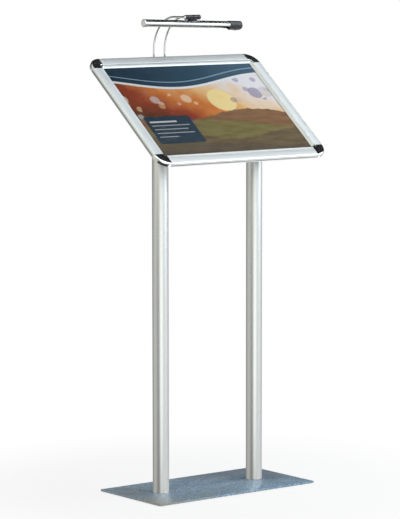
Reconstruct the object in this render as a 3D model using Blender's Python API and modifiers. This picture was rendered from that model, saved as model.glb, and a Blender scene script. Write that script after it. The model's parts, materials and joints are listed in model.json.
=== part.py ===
"""Free-standing information board: a sloping snap-open poster frame on two round posts,
a flat steel base and a picture light on two bent rods.

Metres, +Z up. The origin is the middle of the underlay's bottom face, on the floor,
and the board faces -Y. Run with: blender --background --python part.py
"""
import math

import bmesh
import bpy
from mathutils import Matrix, Vector

# Fits
GAP = 0.0003                    # between pieces that touch
MERGE = 0.000005                # vertices closer than this are one
CUT_OVER = 0.002                # how far a cutter runs past the face it cuts

# Base
PLATE_WIDTH = 0.600
PLATE_DEPTH = 0.300
PLATE_THICK = 0.006
UNDERLAY_THICK = 0.0015
UNDERLAY_INSET = 0.006

# Posts
POST_DIAMETER = 0.050
POST_WALL = 0.002
POST_INSET = 0.143              # from the board's side edge to a post's axis
FOOT_HEIGHT = 0.030
FOOT_SCREW_DIAMETER = 0.010
FOOT_SCREW_HEAD = 0.020
FOOT_SCREW_SINK = 0.005
FOOT_SCREW_BITE = 0.024

# Board
BOARD_THICK = 0.013
BOARD_TILT = math.radians(38.7)
BOARD_MID_Y = -0.006            # middle of the front face
BOARD_MID_Z = 1.177

# Snap rail, seen in section: a runs inward from the board's edge, n is height over its face
RAIL_WIDTH = 0.0425
RAIL_SHELL = 0.0014
HINGE_RADIUS = 0.0055           # the rail's rolled outer edge turns round the hinge bead
HINGE_WRAP = math.radians(130)  # how far the rolled edge goes round
FACE_END = 0.036
STEP_RUN = 0.0012
STEP_DROP = 0.0020
LIP_DROP = 0.0058
LIP_START_RUN = 0.0046
LIP_START_DROP = 0.0046
LIP_FOOT = 0.0014
LEG_IN = 0.024
LEG_THICK = 0.0012
LEG_DROP = 0.0045

# Frame profile under the snap rail
FLOOR_THICK = 0.0015
OUTER_WALL = 0.0015
OUTER_WALL_TOP = 0.0098         # below the face
NECK_THICK = 0.0016
CHAMBER_START = 0.012
CHAMBER_END = 0.0265
CHAMBER_TOP = 0.0060            # below the face
CHAMBER_WALL = 0.0012
LEDGE_END = 0.036

# Corners
CAP_SIZE = 0.0445
CAP_SHELL = 0.0016
CAP_STEPS = 10
KEY_ARM = 0.040                 # length of a key's arm inside each profile
KEY_CHAMFER = 0.005
BOSS_DIAMETER = 0.008

# Snap springs
SPRING_LENGTH = 0.060
SPRING_THICK = 0.0005
SPRING_FOOT = 0.0035
SPRING_RUN = 0.0085
SPRING_RISE = 0.0030

# Sheets, of a standard size, which set the size of the frame round them
SHEET_WIDTH = 0.594
SHEET_LENGTH = 0.420            # up the slope
SHEET_PLAY = 0.0015             # from a sheet's edge to the profile's chamber
PANEL_THICK = 0.003
POSTER_THICK = 0.0005
COVER_THICK = 0.001

# Mounting rails and post heads behind the board
BAR_WIDTH = 0.040
BAR_THICK = 0.003
BAR_END_INSET = 0.006
FLANGE_WIDTH = 0.044
FLANGE_THICK = 0.005
FLANGE_SCREW_OUT = 0.042
FLANGE_MARGIN = 0.009
NECK_DIAMETER = 0.044
NECK_SHOW = 0.014
COLLAR_THICK = 0.003
PLUG_LENGTH = 0.040

# Small screws
FRAME_SCREW_DIAMETER = 0.004
FRAME_SCREW_HEAD = 0.008
FRAME_SCREW_HEAD_THICK = 0.0024
FRAME_SCREW_BITE = 0.0006
HEAD_SCREW_DIAMETER = 0.006
HEAD_SCREW_HEAD = 0.010
HEAD_SCREW_HEAD_THICK = 0.004
HEAD_SCREW_TIP = 0.0012         # past the mounting rail

# Lamp bracket and clamp
BRACKET_WIDTH = 0.064
BRACKET_THICK = 0.003
BRACKET_LOW = 0.036             # from the board's top edge, down the slope
BRACKET_HIGH = 0.005
BRACKET_SCREW_SPACING = 0.036
CLAMP_WIDTH = 0.060
CLAMP_DEPTH = 0.024
CLAMP_HEIGHT = 0.020
CLAMP_EDGE = 0.0015
CLAMP_BOLT_DIAMETER = 0.005
CLAMP_BOLT_HEAD = 0.009
CLAMP_BOLT_HEAD_THICK = 0.004
CLAMP_BOLT_BITE = 0.016
GLAND_DIAMETER = 0.013
GLAND_NUT = 0.005
GLAND_LENGTH = 0.014
GLAND_BORE = 0.005

# Lamp arms
ARM_DIAMETER = 0.006
ARM_SPACING = 0.042
SHELF_REACH = 0.05985           # from the bracket's bend back to the rods
ARM_REACH = 0.168               # from the rods forward to the swivel
ARM_BEND = 0.106
ARM_BEND_STEPS = 9

# Lamp swivel
SWIVEL_RISE = 0.1337            # above the bracket's shelf
BARREL_DIAMETER = 0.015
BARREL_OUT = 0.0275             # outer end of an arm's barrel, from the middle
SADDLE_HALF = 0.014
SADDLE_DEPTH = 0.013
PIN_DIAMETER = 0.005
PIN_HEAD = 0.010
PIN_HEAD_THICK = 0.003
NUT_THICK = 0.004

# Lamp head
LAMP_DROP = 0.0213              # from the swivel's axis down to the tube's
LAMP_ROLL = math.radians(2.1)   # the head hangs a little askew, left end higher
LAMP_TURN = math.radians(-15)   # its slot looks down and a little forward
SHADE_DIAMETER = 0.024
SHADE_WALL = 0.0008
SHADE_LENGTH = 0.368
SLOT_HALF = math.radians(48)
REFLECTOR_THICK = 0.0006
REFLECTOR_HALF = math.radians(55)
END_DIAMETER = 0.0244
END_THICK = 0.0035
END_EDGE = 0.001
END_PLUG = 0.008
SOCKET_LENGTH = 0.008
SOCKET_WALL = 0.0011
SOCKET_DEPTH = 0.006
TUBE_DIAMETER = 0.011

# Lamp switch, in the sleeve on the right end of the head
SWITCH_LENGTH = 0.044
SLEEVE_WALL = 0.001
SLEEVE_SLOT = math.radians(28)  # to each side of the housing's middle
SWITCH_WIDTH = 0.013
SWITCH_TOP = 0.0072             # below the tube's axis
SWITCH_BOTTOM = 0.014
ROCKER_IN = 0.024               # from the shade's end to the rocker's axis
ROCKER_AXIS = 0.0122            # below the tube's axis
ROCKER_LENGTH = 0.0146
ROCKER_WIDTH = 0.008
ROCKER_END_DROP = 0.0032
ROCKER_MID_DROP = 0.0022
ROCKER_BACK_END = 0.0008
ROCKER_BACK_MID = 0.0016
ROCKER_SWING = math.radians(16)
RECESS_LENGTH = 0.016
RECESS_DEPTH = 0.0045

# Roundness
POST_STEPS = 40
SCREW_STEPS = 16
LAMP_STEPS = 28
ARC_STEPS = 9
BEAD_STEPS = 14
ROD_SIDES = 3

# Worked out from the above
POST_RADIUS = POST_DIAMETER / 2
PLUG_RADIUS = POST_RADIUS - POST_WALL - GAP
PLATE_BOTTOM = UNDERLAY_THICK + GAP
PLATE_TOP = PLATE_BOTTOM + PLATE_THICK
POST_BOTTOM = PLATE_TOP + GAP
COS_TILT = math.cos(BOARD_TILT)
SIN_TILT = math.sin(BOARD_TILT)
SHEET_IN = CHAMBER_END + SHEET_PLAY
BOARD_WIDTH = SHEET_WIDTH + 2 * SHEET_IN
BOARD_LENGTH = SHEET_LENGTH + 2 * SHEET_IN      # up the slope
POST_SPACING = BOARD_WIDTH - 2 * POST_INSET
BAR_FACE = BOARD_THICK + GAP                    # depth of the bars' front face
BAR_BACK = BAR_FACE + BAR_THICK
FLANGE_FACE = BAR_BACK + GAP
FLANGE_BACK = FLANGE_FACE + FLANGE_THICK
FLOOR_TOP = BOARD_THICK - FLOOR_THICK
SHELF_BEND = BOARD_LENGTH / 2 - BRACKET_HIGH    # up the slope
SHELF_START = BOARD_MID_Y + SHELF_BEND * COS_TILT + BAR_FACE * SIN_TILT
SHELF_TOP = BOARD_MID_Z + SHELF_BEND * SIN_TILT - BAR_FACE * COS_TILT
ARM_Y = SHELF_START + SHELF_REACH
SWIVEL_Z = SHELF_TOP + SWIVEL_RISE
LAMP_Y = ARM_Y - ARM_REACH
LAMP_Z = SWIVEL_Z - LAMP_DROP
KEY_MID = (CHAMBER_START + CHAMBER_END) / 2
SADDLE_GAP = SADDLE_HALF + GAP
SHADE_RADIUS = SHADE_DIAMETER / 2
SHADE_INNER = SHADE_RADIUS - SHADE_WALL
SLEEVE_RADIUS = SHADE_RADIUS + GAP + SLEEVE_WALL
TUBE_RADIUS = TUBE_DIAMETER / 2
BARREL_RADIUS = BARREL_DIAMETER / 2
RIGHT_ANGLE = math.pi / 2
ALONG_X = Matrix(((0, 0, 1, 0), (1, 0, 0, 0), (0, 1, 0, 0), (0, 0, 0, 1)))  # outline XY to YZ

FINISHES = {
    "anodised_aluminium": ((0.78, 0.79, 0.79, 1), 0.32, 0.85),
    "bare_steel": ((0.55, 0.56, 0.57, 1), 0.30, 1.0),
    "chrome": ((0.80, 0.81, 0.82, 1), 0.06, 1.0),
    "hammered_paint": ((0.26, 0.32, 0.37, 1), 0.45, 0.1),
    "black_plastic": ((0.03, 0.03, 0.03, 1), 0.40, 0.0),
    "grey_plastic": ((0.45, 0.46, 0.47, 1), 0.50, 0.0),
    "rubber": ((0.05, 0.05, 0.05, 1), 0.85, 0.0),
    "panel": ((0.80, 0.80, 0.80, 1), 0.60, 0.0),
    "paper": ((0.45, 0.38, 0.30, 1), 0.55, 0.0),
    "clear_sheet": ((0.95, 0.97, 0.97, 1), 0.08, 0.0),
    "glass": ((0.95, 0.96, 0.94, 1), 0.20, 0.0),
}

SIDES = {
    "bottom": (Vector((0, -BOARD_LENGTH / 2, 0)), 0.0, BOARD_WIDTH),
    "right": (Vector((BOARD_WIDTH / 2, 0, 0)), RIGHT_ANGLE, BOARD_LENGTH),
    "top": (Vector((0, BOARD_LENGTH / 2, 0)), 2 * RIGHT_ANGLE, BOARD_WIDTH),
    "left": (Vector((-BOARD_WIDTH / 2, 0, 0)), -RIGHT_ANGLE, BOARD_LENGTH),
}
CORNERS = {
    "bottom_left": (Vector((-BOARD_WIDTH / 2, -BOARD_LENGTH / 2, 0)), 0.0),
    "bottom_right": (Vector((BOARD_WIDTH / 2, -BOARD_LENGTH / 2, 0)), RIGHT_ANGLE),
    "top_right": (Vector((BOARD_WIDTH / 2, BOARD_LENGTH / 2, 0)), 2 * RIGHT_ANGLE),
    "top_left": (Vector((-BOARD_WIDTH / 2, BOARD_LENGTH / 2, 0)), -RIGHT_ANGLE),
}
HANDS = {"left": -1, "right": 1}


def clear_scene():
    for obj in list(bpy.data.objects):
        bpy.data.objects.remove(obj)


def new_collection(name):
    collection = bpy.data.collections.new(name)
    bpy.context.scene.collection.children.link(collection)
    return collection


def make_materials():
    for name, (colour, roughness, metallic) in FINISHES.items():
        material = bpy.data.materials.new(name)
        material.use_nodes = True
        shader = material.node_tree.nodes["Principled BSDF"]
        shader.inputs["Base Color"].default_value = colour
        shader.inputs["Roughness"].default_value = roughness
        shader.inputs["Metallic"].default_value = metallic


def empty(name, location, rotation=(0, 0, 0), parent=None):
    """A bare axis that pieces hang on; it is not a piece."""
    axis = bpy.data.objects.new(name, None)
    bpy.data.collections["information_board"].objects.link(axis)
    axis.parent = parent
    axis.location = location
    axis.rotation_euler = rotation
    return axis


def place(obj, parent=None, location=(0, 0, 0), rotation=(0, 0, 0)):
    obj.parent = parent
    obj.location = location
    obj.rotation_euler = rotation
    return obj


def piece(obj, finish, smooth=None):
    """Files a finished solid as one of the board's pieces."""
    bpy.data.collections["information_board"].objects.link(obj)
    obj.data.materials.append(bpy.data.materials[finish])
    if smooth is not None:
        obj.data.shade_smooth()
        obj.data.set_sharp_from_angle(angle=smooth)
    return obj


def tool(obj):
    """Files a shape that only cuts or joins another one."""
    bpy.data.collections["cutters"].objects.link(obj)
    obj.hide_render = True
    obj.display_type = "WIRE"
    return obj


def combine(obj, other, operation):
    modifier = obj.modifiers.new(operation.lower(), "BOOLEAN")
    modifier.operation = operation
    modifier.solver = "EXACT"
    modifier.object = tool(other)
    return obj


def mesh_object(name, bm):
    mesh = bpy.data.meshes.new(name)
    bm.to_mesh(mesh)
    bm.free()
    return bpy.data.objects.new(name, mesh)


def box(name, size, edge=0.0):
    """A block centred on its origin, its edges rounded off where edge is given."""
    bm = bmesh.new()
    bmesh.ops.create_cube(bm, size=1)
    bmesh.ops.scale(bm, vec=Vector(size), verts=bm.verts)
    if edge:
        bmesh.ops.bevel(bm, geom=list(bm.edges), offset=edge, segments=2, profile=0.5,
                        affect="EDGES", material=-1)
    return mesh_object(name, bm)


def cylinder(name, radius, height, steps=SCREW_STEPS):
    """A round bar along local Z, centred on its origin."""
    bm = bmesh.new()
    bmesh.ops.create_cone(bm, cap_ends=True, segments=steps, radius1=radius, radius2=radius,
                          depth=height)
    return mesh_object(name, bm)


def turned(name, profile, steps, ring=False):
    """A body turned about local Z from (radius, height) points down its outer side."""
    bm = bmesh.new()
    verts = [bm.verts.new((radius, 0, height)) for radius, height in profile]
    for first, second in zip(verts, verts[1:]):
        bm.edges.new((first, second))
    if ring:
        bm.edges.new((verts[-1], verts[0]))
    obj = mesh_object(name, bm)
    screw = obj.modifiers.new("turn", "SCREW")
    screw.steps = steps
    screw.render_steps = steps
    screw.use_merge_vertices = True
    screw.merge_threshold = MERGE
    return obj


def to_mesh(curve_obj):
    """A mesh copy of a curve object, with its caps welded on."""
    bpy.context.scene.collection.objects.link(curve_obj)
    bpy.context.view_layer.update()
    evaluated = curve_obj.evaluated_get(bpy.context.evaluated_depsgraph_get())
    mesh = bpy.data.meshes.new_from_object(evaluated)
    bm = bmesh.new()
    bm.from_mesh(mesh)
    bmesh.ops.remove_doubles(bm, verts=bm.verts, dist=MERGE)
    bmesh.ops.recalc_face_normals(bm, faces=bm.faces)
    name = curve_obj.name
    bpy.data.objects.remove(curve_obj)
    return mesh_object(name, bm)


def extruded(name, loops, depth, turn=None):
    """A solid from flat outlines in local XY, depth thick and centred on the outline's plane."""
    curve = bpy.data.curves.new(name, "CURVE")
    curve.dimensions = "2D"
    curve.fill_mode = "BOTH"
    curve.extrude = depth / 2
    for loop in loops:
        spline = curve.splines.new("POLY")
        spline.points.add(len(loop) - 1)
        for point, (x, y) in zip(spline.points, loop):
            point.co = (x, y, 0, 1)
        spline.use_cyclic_u = True
    obj = to_mesh(bpy.data.objects.new(name, curve))
    if turn:
        obj.data.transform(turn)
    return obj


def rod(name, points, diameter):
    curve = bpy.data.curves.new(name, "CURVE")
    curve.dimensions = "3D"
    curve.bevel_depth = diameter / 2
    curve.bevel_resolution = ROD_SIDES
    curve.use_fill_caps = True
    spline = curve.splines.new("POLY")
    spline.points.add(len(points) - 1)
    for point, co in zip(spline.points, points):
        point.co = (*co, 1)
    return to_mesh(bpy.data.objects.new(name, curve))


def arc(centre, radius, start, end, steps):
    """Points of an arc, both ends included; angles in radians from local +X."""
    angles = [start + (end - start) * i / steps for i in range(steps + 1)]
    return [(centre[0] + radius * math.cos(a), centre[1] + radius * math.sin(a)) for a in angles]


def rectangle(width, height):
    return [(-width / 2, -height / 2), (width / 2, -height / 2),
            (width / 2, height / 2), (-width / 2, height / 2)]


def button_screw(name, diameter, length, head, head_thick):
    """A screw along local +Z, its origin under the head."""
    radius = diameter / 2
    shoulder = head / 2
    profile = [(0, length), (radius, length), (radius, 0), (shoulder, 0),
               (shoulder, -head_thick / 2), (shoulder * 0.75, -head_thick), (0, -head_thick)]
    return turned(name, profile, SCREW_STEPS)


def board_point(v, depth):
    """World (y, z) of a point v up the slope from the board's middle, depth behind its face."""
    y = BOARD_MID_Y + v * COS_TILT + depth * SIN_TILT
    z = BOARD_MID_Z + v * SIN_TILT - depth * COS_TILT
    return y, z


def slope_at_post(depth):
    """How far up the slope the posts' axes cross the plane at this depth behind the face."""
    rise = (-depth - BOARD_MID_Y * SIN_TILT) / COS_TILT
    return -BOARD_MID_Y * COS_TILT + rise * SIN_TILT


def make_base():
    underlay = box("base_underlay", (PLATE_WIDTH - 2 * UNDERLAY_INSET,
                                     PLATE_DEPTH - 2 * UNDERLAY_INSET, UNDERLAY_THICK))
    place(piece(underlay, "rubber"), location=(0, 0, UNDERLAY_THICK / 2))
    plate = box("base_plate", (PLATE_WIDTH, PLATE_DEPTH, PLATE_THICK))
    place(piece(plate, "hammered_paint"), location=(0, 0, PLATE_BOTTOM + PLATE_THICK / 2))
    shank = FOOT_SCREW_DIAMETER / 2
    head = FOOT_SCREW_HEAD / 2
    top = PLATE_THICK + GAP + FOOT_SCREW_BITE
    for hand, sign in HANDS.items():
        x = sign * POST_SPACING / 2
        profile = [(0, top), (shank, top), (shank, FOOT_SCREW_SINK), (head, 0), (0, 0)]
        screw = turned("base_screw_" + hand, profile, SCREW_STEPS + 4)
        place(piece(screw, "bare_steel", RIGHT_ANGLE / 2), location=(x, 0, PLATE_BOTTOM))
        over = FOOT_SCREW_SINK * CUT_OVER / (head - shank)
        profile = [(0, PLATE_THICK + CUT_OVER), (shank + GAP, PLATE_THICK + CUT_OVER),
                   (shank + GAP, FOOT_SCREW_SINK), (head + GAP, 0),
                   (head + GAP + CUT_OVER, -over), (0, -over)]
        hole = turned("plate_hole_" + hand, profile, SCREW_STEPS + 4)
        combine(plate, place(hole, location=(x, 0, PLATE_BOTTOM)), "DIFFERENCE")
        foot = [(PLUG_RADIUS, FOOT_HEIGHT), (PLUG_RADIUS, 0), (shank + GAP, 0),
                (shank + GAP, FOOT_HEIGHT)]
        plug = turned("post_foot_" + hand, foot, POST_STEPS, ring=True)
        place(piece(plug, "bare_steel", RIGHT_ANGLE / 2), location=(x, 0, POST_BOTTOM))


def post_top():
    """Height of a post's top end, under the head's flange."""
    slope = slope_at_post(FLANGE_BACK)
    height = board_point(slope, FLANGE_BACK)[1]
    return height - POST_RADIUS * math.tan(BOARD_TILT) - NECK_SHOW - GAP


def make_posts(board):
    top = post_top()
    flange_mid = (FLANGE_FACE + FLANGE_BACK) / 2
    neck_end = FLANGE_THICK / COS_TILT + POST_DIAMETER
    neck_top = neck_end + NECK_SHOW + POST_RADIUS * math.tan(BOARD_TILT)
    for hand, sign in HANDS.items():
        x = sign * POST_SPACING / 2
        inner = POST_RADIUS - POST_WALL
        length = top - POST_BOTTOM
        wall = [(POST_RADIUS, length), (POST_RADIUS, 0), (inner, 0), (inner, length)]
        post = turned("post_" + hand, wall, POST_STEPS, ring=True)
        place(piece(post, "anodised_aluminium", RIGHT_ANGLE / 2), location=(x, 0, POST_BOTTOM))

        neck = NECK_DIAMETER / 2
        profile = [(0, neck_top), (neck, neck_top), (neck, COLLAR_THICK),
                   (POST_RADIUS, COLLAR_THICK), (POST_RADIUS, 0), (PLUG_RADIUS, 0),
                   (PLUG_RADIUS, -PLUG_LENGTH), (0, -PLUG_LENGTH)]
        head = turned("post_head_" + hand, profile, POST_STEPS)
        place(piece(head, "grey_plastic", RIGHT_ANGLE / 2), location=(x, 0, top + GAP))
        space = box("above_flange_" + hand, (2 * POST_DIAMETER, 4 * POST_DIAMETER, POST_DIAMETER * 2))
        place(space, board, (x, slope_at_post(flange_mid), POST_DIAMETER - flange_mid))
        combine(head, space, "DIFFERENCE")
        mid = slope_at_post(flange_mid)
        length = 2 * (FLANGE_SCREW_OUT + FLANGE_MARGIN)
        flange = box("flange_" + hand, (FLANGE_WIDTH, length, FLANGE_THICK))
        combine(head, place(flange, board, (x, mid, -flange_mid)), "UNION")
        for end, way in (("lower", -1), ("upper", 1)):
            v = mid + way * FLANGE_SCREW_OUT
            reach = FLANGE_THICK + BAR_THICK + 2 * GAP + HEAD_SCREW_TIP
            screw = button_screw("head_screw_" + hand + "_" + end, HEAD_SCREW_DIAMETER, reach,
                                 HEAD_SCREW_HEAD, HEAD_SCREW_HEAD_THICK)
            piece(screw, "bare_steel", RIGHT_ANGLE / 2)
            place(screw, board, (x, v, -FLANGE_BACK - GAP))
            hole = cylinder("flange_hole_" + hand + "_" + end, HEAD_SCREW_DIAMETER / 2 + GAP,
                            FLANGE_THICK + 2 * CUT_OVER)
            combine(head, place(hole, board, (x, v, -flange_mid)), "DIFFERENCE")


def make_mounting_rails(board):
    """Two flat bars behind the board carry the frame on the post heads."""
    length = BOARD_LENGTH - 2 * BAR_END_INSET
    end_hole = BOARD_LENGTH / 2 - KEY_MID
    head_hole = slope_at_post((FLANGE_FACE + FLANGE_BACK) / 2)
    for hand, sign in HANDS.items():
        x = sign * POST_SPACING / 2
        loops = [rectangle(BAR_WIDTH, length)]
        for v, diameter in ((-end_hole, FRAME_SCREW_DIAMETER), (end_hole, FRAME_SCREW_DIAMETER),
                            (head_hole - FLANGE_SCREW_OUT, HEAD_SCREW_DIAMETER),
                            (head_hole + FLANGE_SCREW_OUT, HEAD_SCREW_DIAMETER)):
            hole = arc((0, v), diameter / 2 + GAP, 0, 2 * math.pi, SCREW_STEPS)
            loops.append(hole[:-1])
        bar = extruded("mounting_rail_" + hand, loops, BAR_THICK)
        place(piece(bar, "bare_steel"), board, (x, 0, -(BAR_FACE + BAR_BACK) / 2))
        for end, v in (("lower", -end_hole), ("upper", end_hole)):
            frame_screw("rail_screw_" + hand + "_" + end, board, x, v, BAR_THICK)


def frame_screw(name, board, x, v, clamped):
    """A short screw from behind through a clamped part into a profile's floor."""
    length = clamped + 2 * GAP + FLOOR_THICK + FRAME_SCREW_BITE
    screw = button_screw(name, FRAME_SCREW_DIAMETER, length, FRAME_SCREW_HEAD,
                         FRAME_SCREW_HEAD_THICK)
    depth = BAR_FACE + clamped + GAP
    return place(piece(screw, "bare_steel", RIGHT_ANGLE / 2), board, (x, v, -depth))


def snap_rail_outline():
    """The hinged cover's section, from its hinge axis."""
    end = RIGHT_ANGLE + HINGE_WRAP
    outer = arc((0, 0), HINGE_RADIUS, end, RIGHT_ANGLE, ARC_STEPS)
    inner = arc((0, 0), HINGE_RADIUS - RAIL_SHELL, RIGHT_ANGLE, end, ARC_STEPS)
    face = FACE_END - HINGE_RADIUS
    nose = RAIL_WIDTH - HINGE_RADIUS
    under = HINGE_RADIUS - RAIL_SHELL
    leg = LEG_IN - HINGE_RADIUS
    shape = [(face, HINGE_RADIUS),
             (face + STEP_RUN, HINGE_RADIUS - STEP_DROP),
             (face + LIP_START_RUN, HINGE_RADIUS - LIP_START_DROP),
             (nose, HINGE_RADIUS - LIP_DROP),
             (nose - LIP_FOOT, HINGE_RADIUS - LIP_DROP),
             (face + STEP_RUN - RAIL_SHELL * 0.7, under - STEP_DROP * 0.8),
             (face - RAIL_SHELL * 0.6, under),
             (leg + LEG_THICK, under),
             (leg + LEG_THICK, HINGE_RADIUS - LEG_DROP),
             (leg, HINGE_RADIUS - LEG_DROP),
             (leg, under)]
    return outer + shape + inner


def frame_profile_outline():
    """The fixed profile's section: floor, outer wall, hinge bead and key chamber."""
    axis = (HINGE_RADIUS, -HINGE_RADIUS)
    bead_radius = HINGE_RADIUS - RAIL_SHELL - GAP
    half_neck = math.asin(NECK_THICK / 2 / bead_radius)
    bead = arc(axis, bead_radius, -half_neck, half_neck - 2 * math.pi, BEAD_STEPS)
    neck_low = -HINGE_RADIUS - NECK_THICK / 2
    neck_high = -HINGE_RADIUS + NECK_THICK / 2
    shape = [(LEDGE_END, -BOARD_THICK),
             (0, -BOARD_THICK),
             (0, -OUTER_WALL_TOP),
             (OUTER_WALL, -OUTER_WALL_TOP - GAP),
             (OUTER_WALL, -FLOOR_TOP),
             (CHAMBER_START, -FLOOR_TOP),
             (CHAMBER_START, neck_low)]
    rest = [(CHAMBER_START + CHAMBER_WALL, neck_high),
            (CHAMBER_START + CHAMBER_WALL, -CHAMBER_TOP),
            (CHAMBER_END, -CHAMBER_TOP),
            (CHAMBER_END, -FLOOR_TOP),
            (LEDGE_END, -FLOOR_TOP)]
    return shape + bead + rest


def chamber_outline():
    left = CHAMBER_START + CHAMBER_WALL
    right = CHAMBER_END - CHAMBER_WALL
    top = -CHAMBER_TOP - CHAMBER_WALL
    return [(left, -FLOOR_TOP), (right, -FLOOR_TOP), (right, top), (left, top)]


def spring_outline():
    """A bent leaf that lies on the chamber and pushes up behind the snap rail's leg."""
    start = CHAMBER_START + CHAMBER_WALL + GAP
    low = GAP - CHAMBER_TOP
    knee = start + SPRING_FOOT
    tip = start + SPRING_RUN
    return [(start, low), (knee, low), (tip, low + SPRING_RISE),
            (tip + SPRING_THICK, low + SPRING_RISE + SPRING_THICK),
            (tip - SPRING_THICK, low + SPRING_RISE + SPRING_THICK),
            (knee - SPRING_THICK / 2, low + SPRING_THICK), (start, low + SPRING_THICK)]


def make_sides(board):
    for side, (middle, turn, run) in SIDES.items():
        edge = empty(side + "_edge", middle, (0, 0, turn), board)
        length = run - 2 * (CAP_SIZE + GAP)
        profile = extruded("frame_profile_" + side, [frame_profile_outline(), chamber_outline()],
                           length, ALONG_X)
        place(piece(profile, "anodised_aluminium", RIGHT_ANGLE / 3), edge)
        rail = extruded("snap_rail_" + side, [snap_rail_outline()], length, ALONG_X)
        piece(rail, "anodised_aluminium", RIGHT_ANGLE / 3)
        place(rail, edge, (0, HINGE_RADIUS, -HINGE_RADIUS))
        spring = extruded("snap_spring_" + side, [spring_outline()], SPRING_LENGTH, ALONG_X)
        place(piece(spring, "bare_steel"), edge)
    screws = [("bottom", sign * POST_SPACING / 2) for sign in HANDS.values()]
    screws += [("top", sign * POST_SPACING / 2) for sign in HANDS.values()]
    screws += [("top", sign * BRACKET_SCREW_SPACING / 2) for sign in HANDS.values()]
    for number, (side, x) in enumerate(screws):
        hole = cylinder("floor_hole_" + str(number), FRAME_SCREW_DIAMETER / 2 + GAP,
                        FLOOR_THICK + 2 * FRAME_SCREW_BITE + 2 * GAP)
        place(hole, bpy.data.objects[side + "_edge"], (x, KEY_MID, -BOARD_THICK + FLOOR_THICK / 2))
        combine(bpy.data.objects["frame_profile_" + side], hole, "DIFFERENCE")


def cap_outline():
    """A corner cap's section: the snap rail's outside carried down to the back."""
    outer = arc((HINGE_RADIUS, -HINGE_RADIUS), HINGE_RADIUS, math.pi, RIGHT_ANGLE, 5)
    bend = HINGE_RADIUS - CAP_SHELL
    inner = arc((HINGE_RADIUS, -HINGE_RADIUS), bend, RIGHT_ANGLE, math.pi, 4)
    shape = [(FACE_END, 0),
             (FACE_END + STEP_RUN, -STEP_DROP),
             (FACE_END + LIP_START_RUN, -LIP_START_DROP),
             (RAIL_WIDTH, -LIP_DROP),
             (RAIL_WIDTH - LIP_FOOT, -LIP_DROP),
             (FACE_END + STEP_RUN - CAP_SHELL * 0.7, -CAP_SHELL - STEP_DROP * 0.8),
             (FACE_END - CAP_SHELL * 0.6, -CAP_SHELL)]
    return [(0, -BOARD_THICK)] + outer + shape + inner + [(CAP_SHELL, -BOARD_THICK)]


def corner_cap(name):
    """The section swept a quarter turn about the frame's inner corner."""
    bm = bmesh.new()
    verts = [bm.verts.new((a, CAP_SIZE, n)) for a, n in cap_outline()]
    face = bm.faces.new(verts)
    geometry = [face] + list(face.edges) + list(face.verts)
    bmesh.ops.spin(bm, geom=geometry, cent=(CAP_SIZE, CAP_SIZE, 0), axis=(0, 0, 1),
                   angle=RIGHT_ANGLE, steps=CAP_STEPS, use_duplicate=False)
    bmesh.ops.recalc_face_normals(bm, faces=bm.faces)
    return mesh_object(name, bm)


def make_corners(board):
    thickness = FLOOR_TOP - CHAMBER_TOP - CHAMBER_WALL - 2 * GAP
    key_top = -CHAMBER_TOP - CHAMBER_WALL - GAP
    low = CHAMBER_START + CHAMBER_WALL + GAP
    high = CHAMBER_END - CHAMBER_WALL - GAP
    reach = CAP_SIZE + KEY_ARM
    outline = [(low + KEY_CHAMFER, low), (reach, low), (reach, high), (high, high),
               (high, reach), (low, reach), (low, low + KEY_CHAMFER)]
    for corner, (point, turn) in CORNERS.items():
        edge = empty(corner + "_corner", point, (0, 0, turn), board)
        cap = piece(corner_cap("corner_cap_" + corner), "chrome", RIGHT_ANGLE / 3)
        place(cap, edge)
        boss_low = key_top + GAP
        boss_high = -CAP_SHELL / 2
        boss = cylinder("boss_" + corner, BOSS_DIAMETER / 2, boss_high - boss_low)
        combine(cap, place(boss, edge, (KEY_MID, KEY_MID, (boss_low + boss_high) / 2)), "UNION")
        key = extruded("corner_key_" + corner, [outline], thickness)
        place(piece(key, "bare_steel"), edge, (0, 0, key_top - thickness / 2))


def make_sheets(board):
    """Back panel, poster and clear cover, stacked on the profiles' ledges."""
    depth = FLOOR_TOP - GAP
    for name, thickness, finish in (("back_panel", PANEL_THICK, "panel"),
                                    ("poster_sheet", POSTER_THICK, "paper"),
                                    ("cover_sheet", COVER_THICK, "clear_sheet")):
        sheet = box(name, (SHEET_WIDTH, SHEET_LENGTH, thickness))
        place(piece(sheet, finish), board, (0, 0, -depth + thickness / 2))
        depth -= thickness + GAP


def bracket_outline():
    """The bent bracket's side view in world (y, z): a sloping foot and a level shelf."""
    bottom = BOARD_LENGTH / 2 - BRACKET_LOW
    back = BAR_FACE + BRACKET_THICK
    shelf_low = SHELF_TOP - BRACKET_THICK
    end = ARM_Y + CLAMP_DEPTH / 2
    inner = SHELF_BEND - (BRACKET_THICK - BRACKET_THICK * COS_TILT) / SIN_TILT
    return [board_point(bottom, BAR_FACE), (SHELF_START, SHELF_TOP), (end, SHELF_TOP),
            (end, shelf_low), board_point(inner, back), board_point(bottom, back)]


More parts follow.
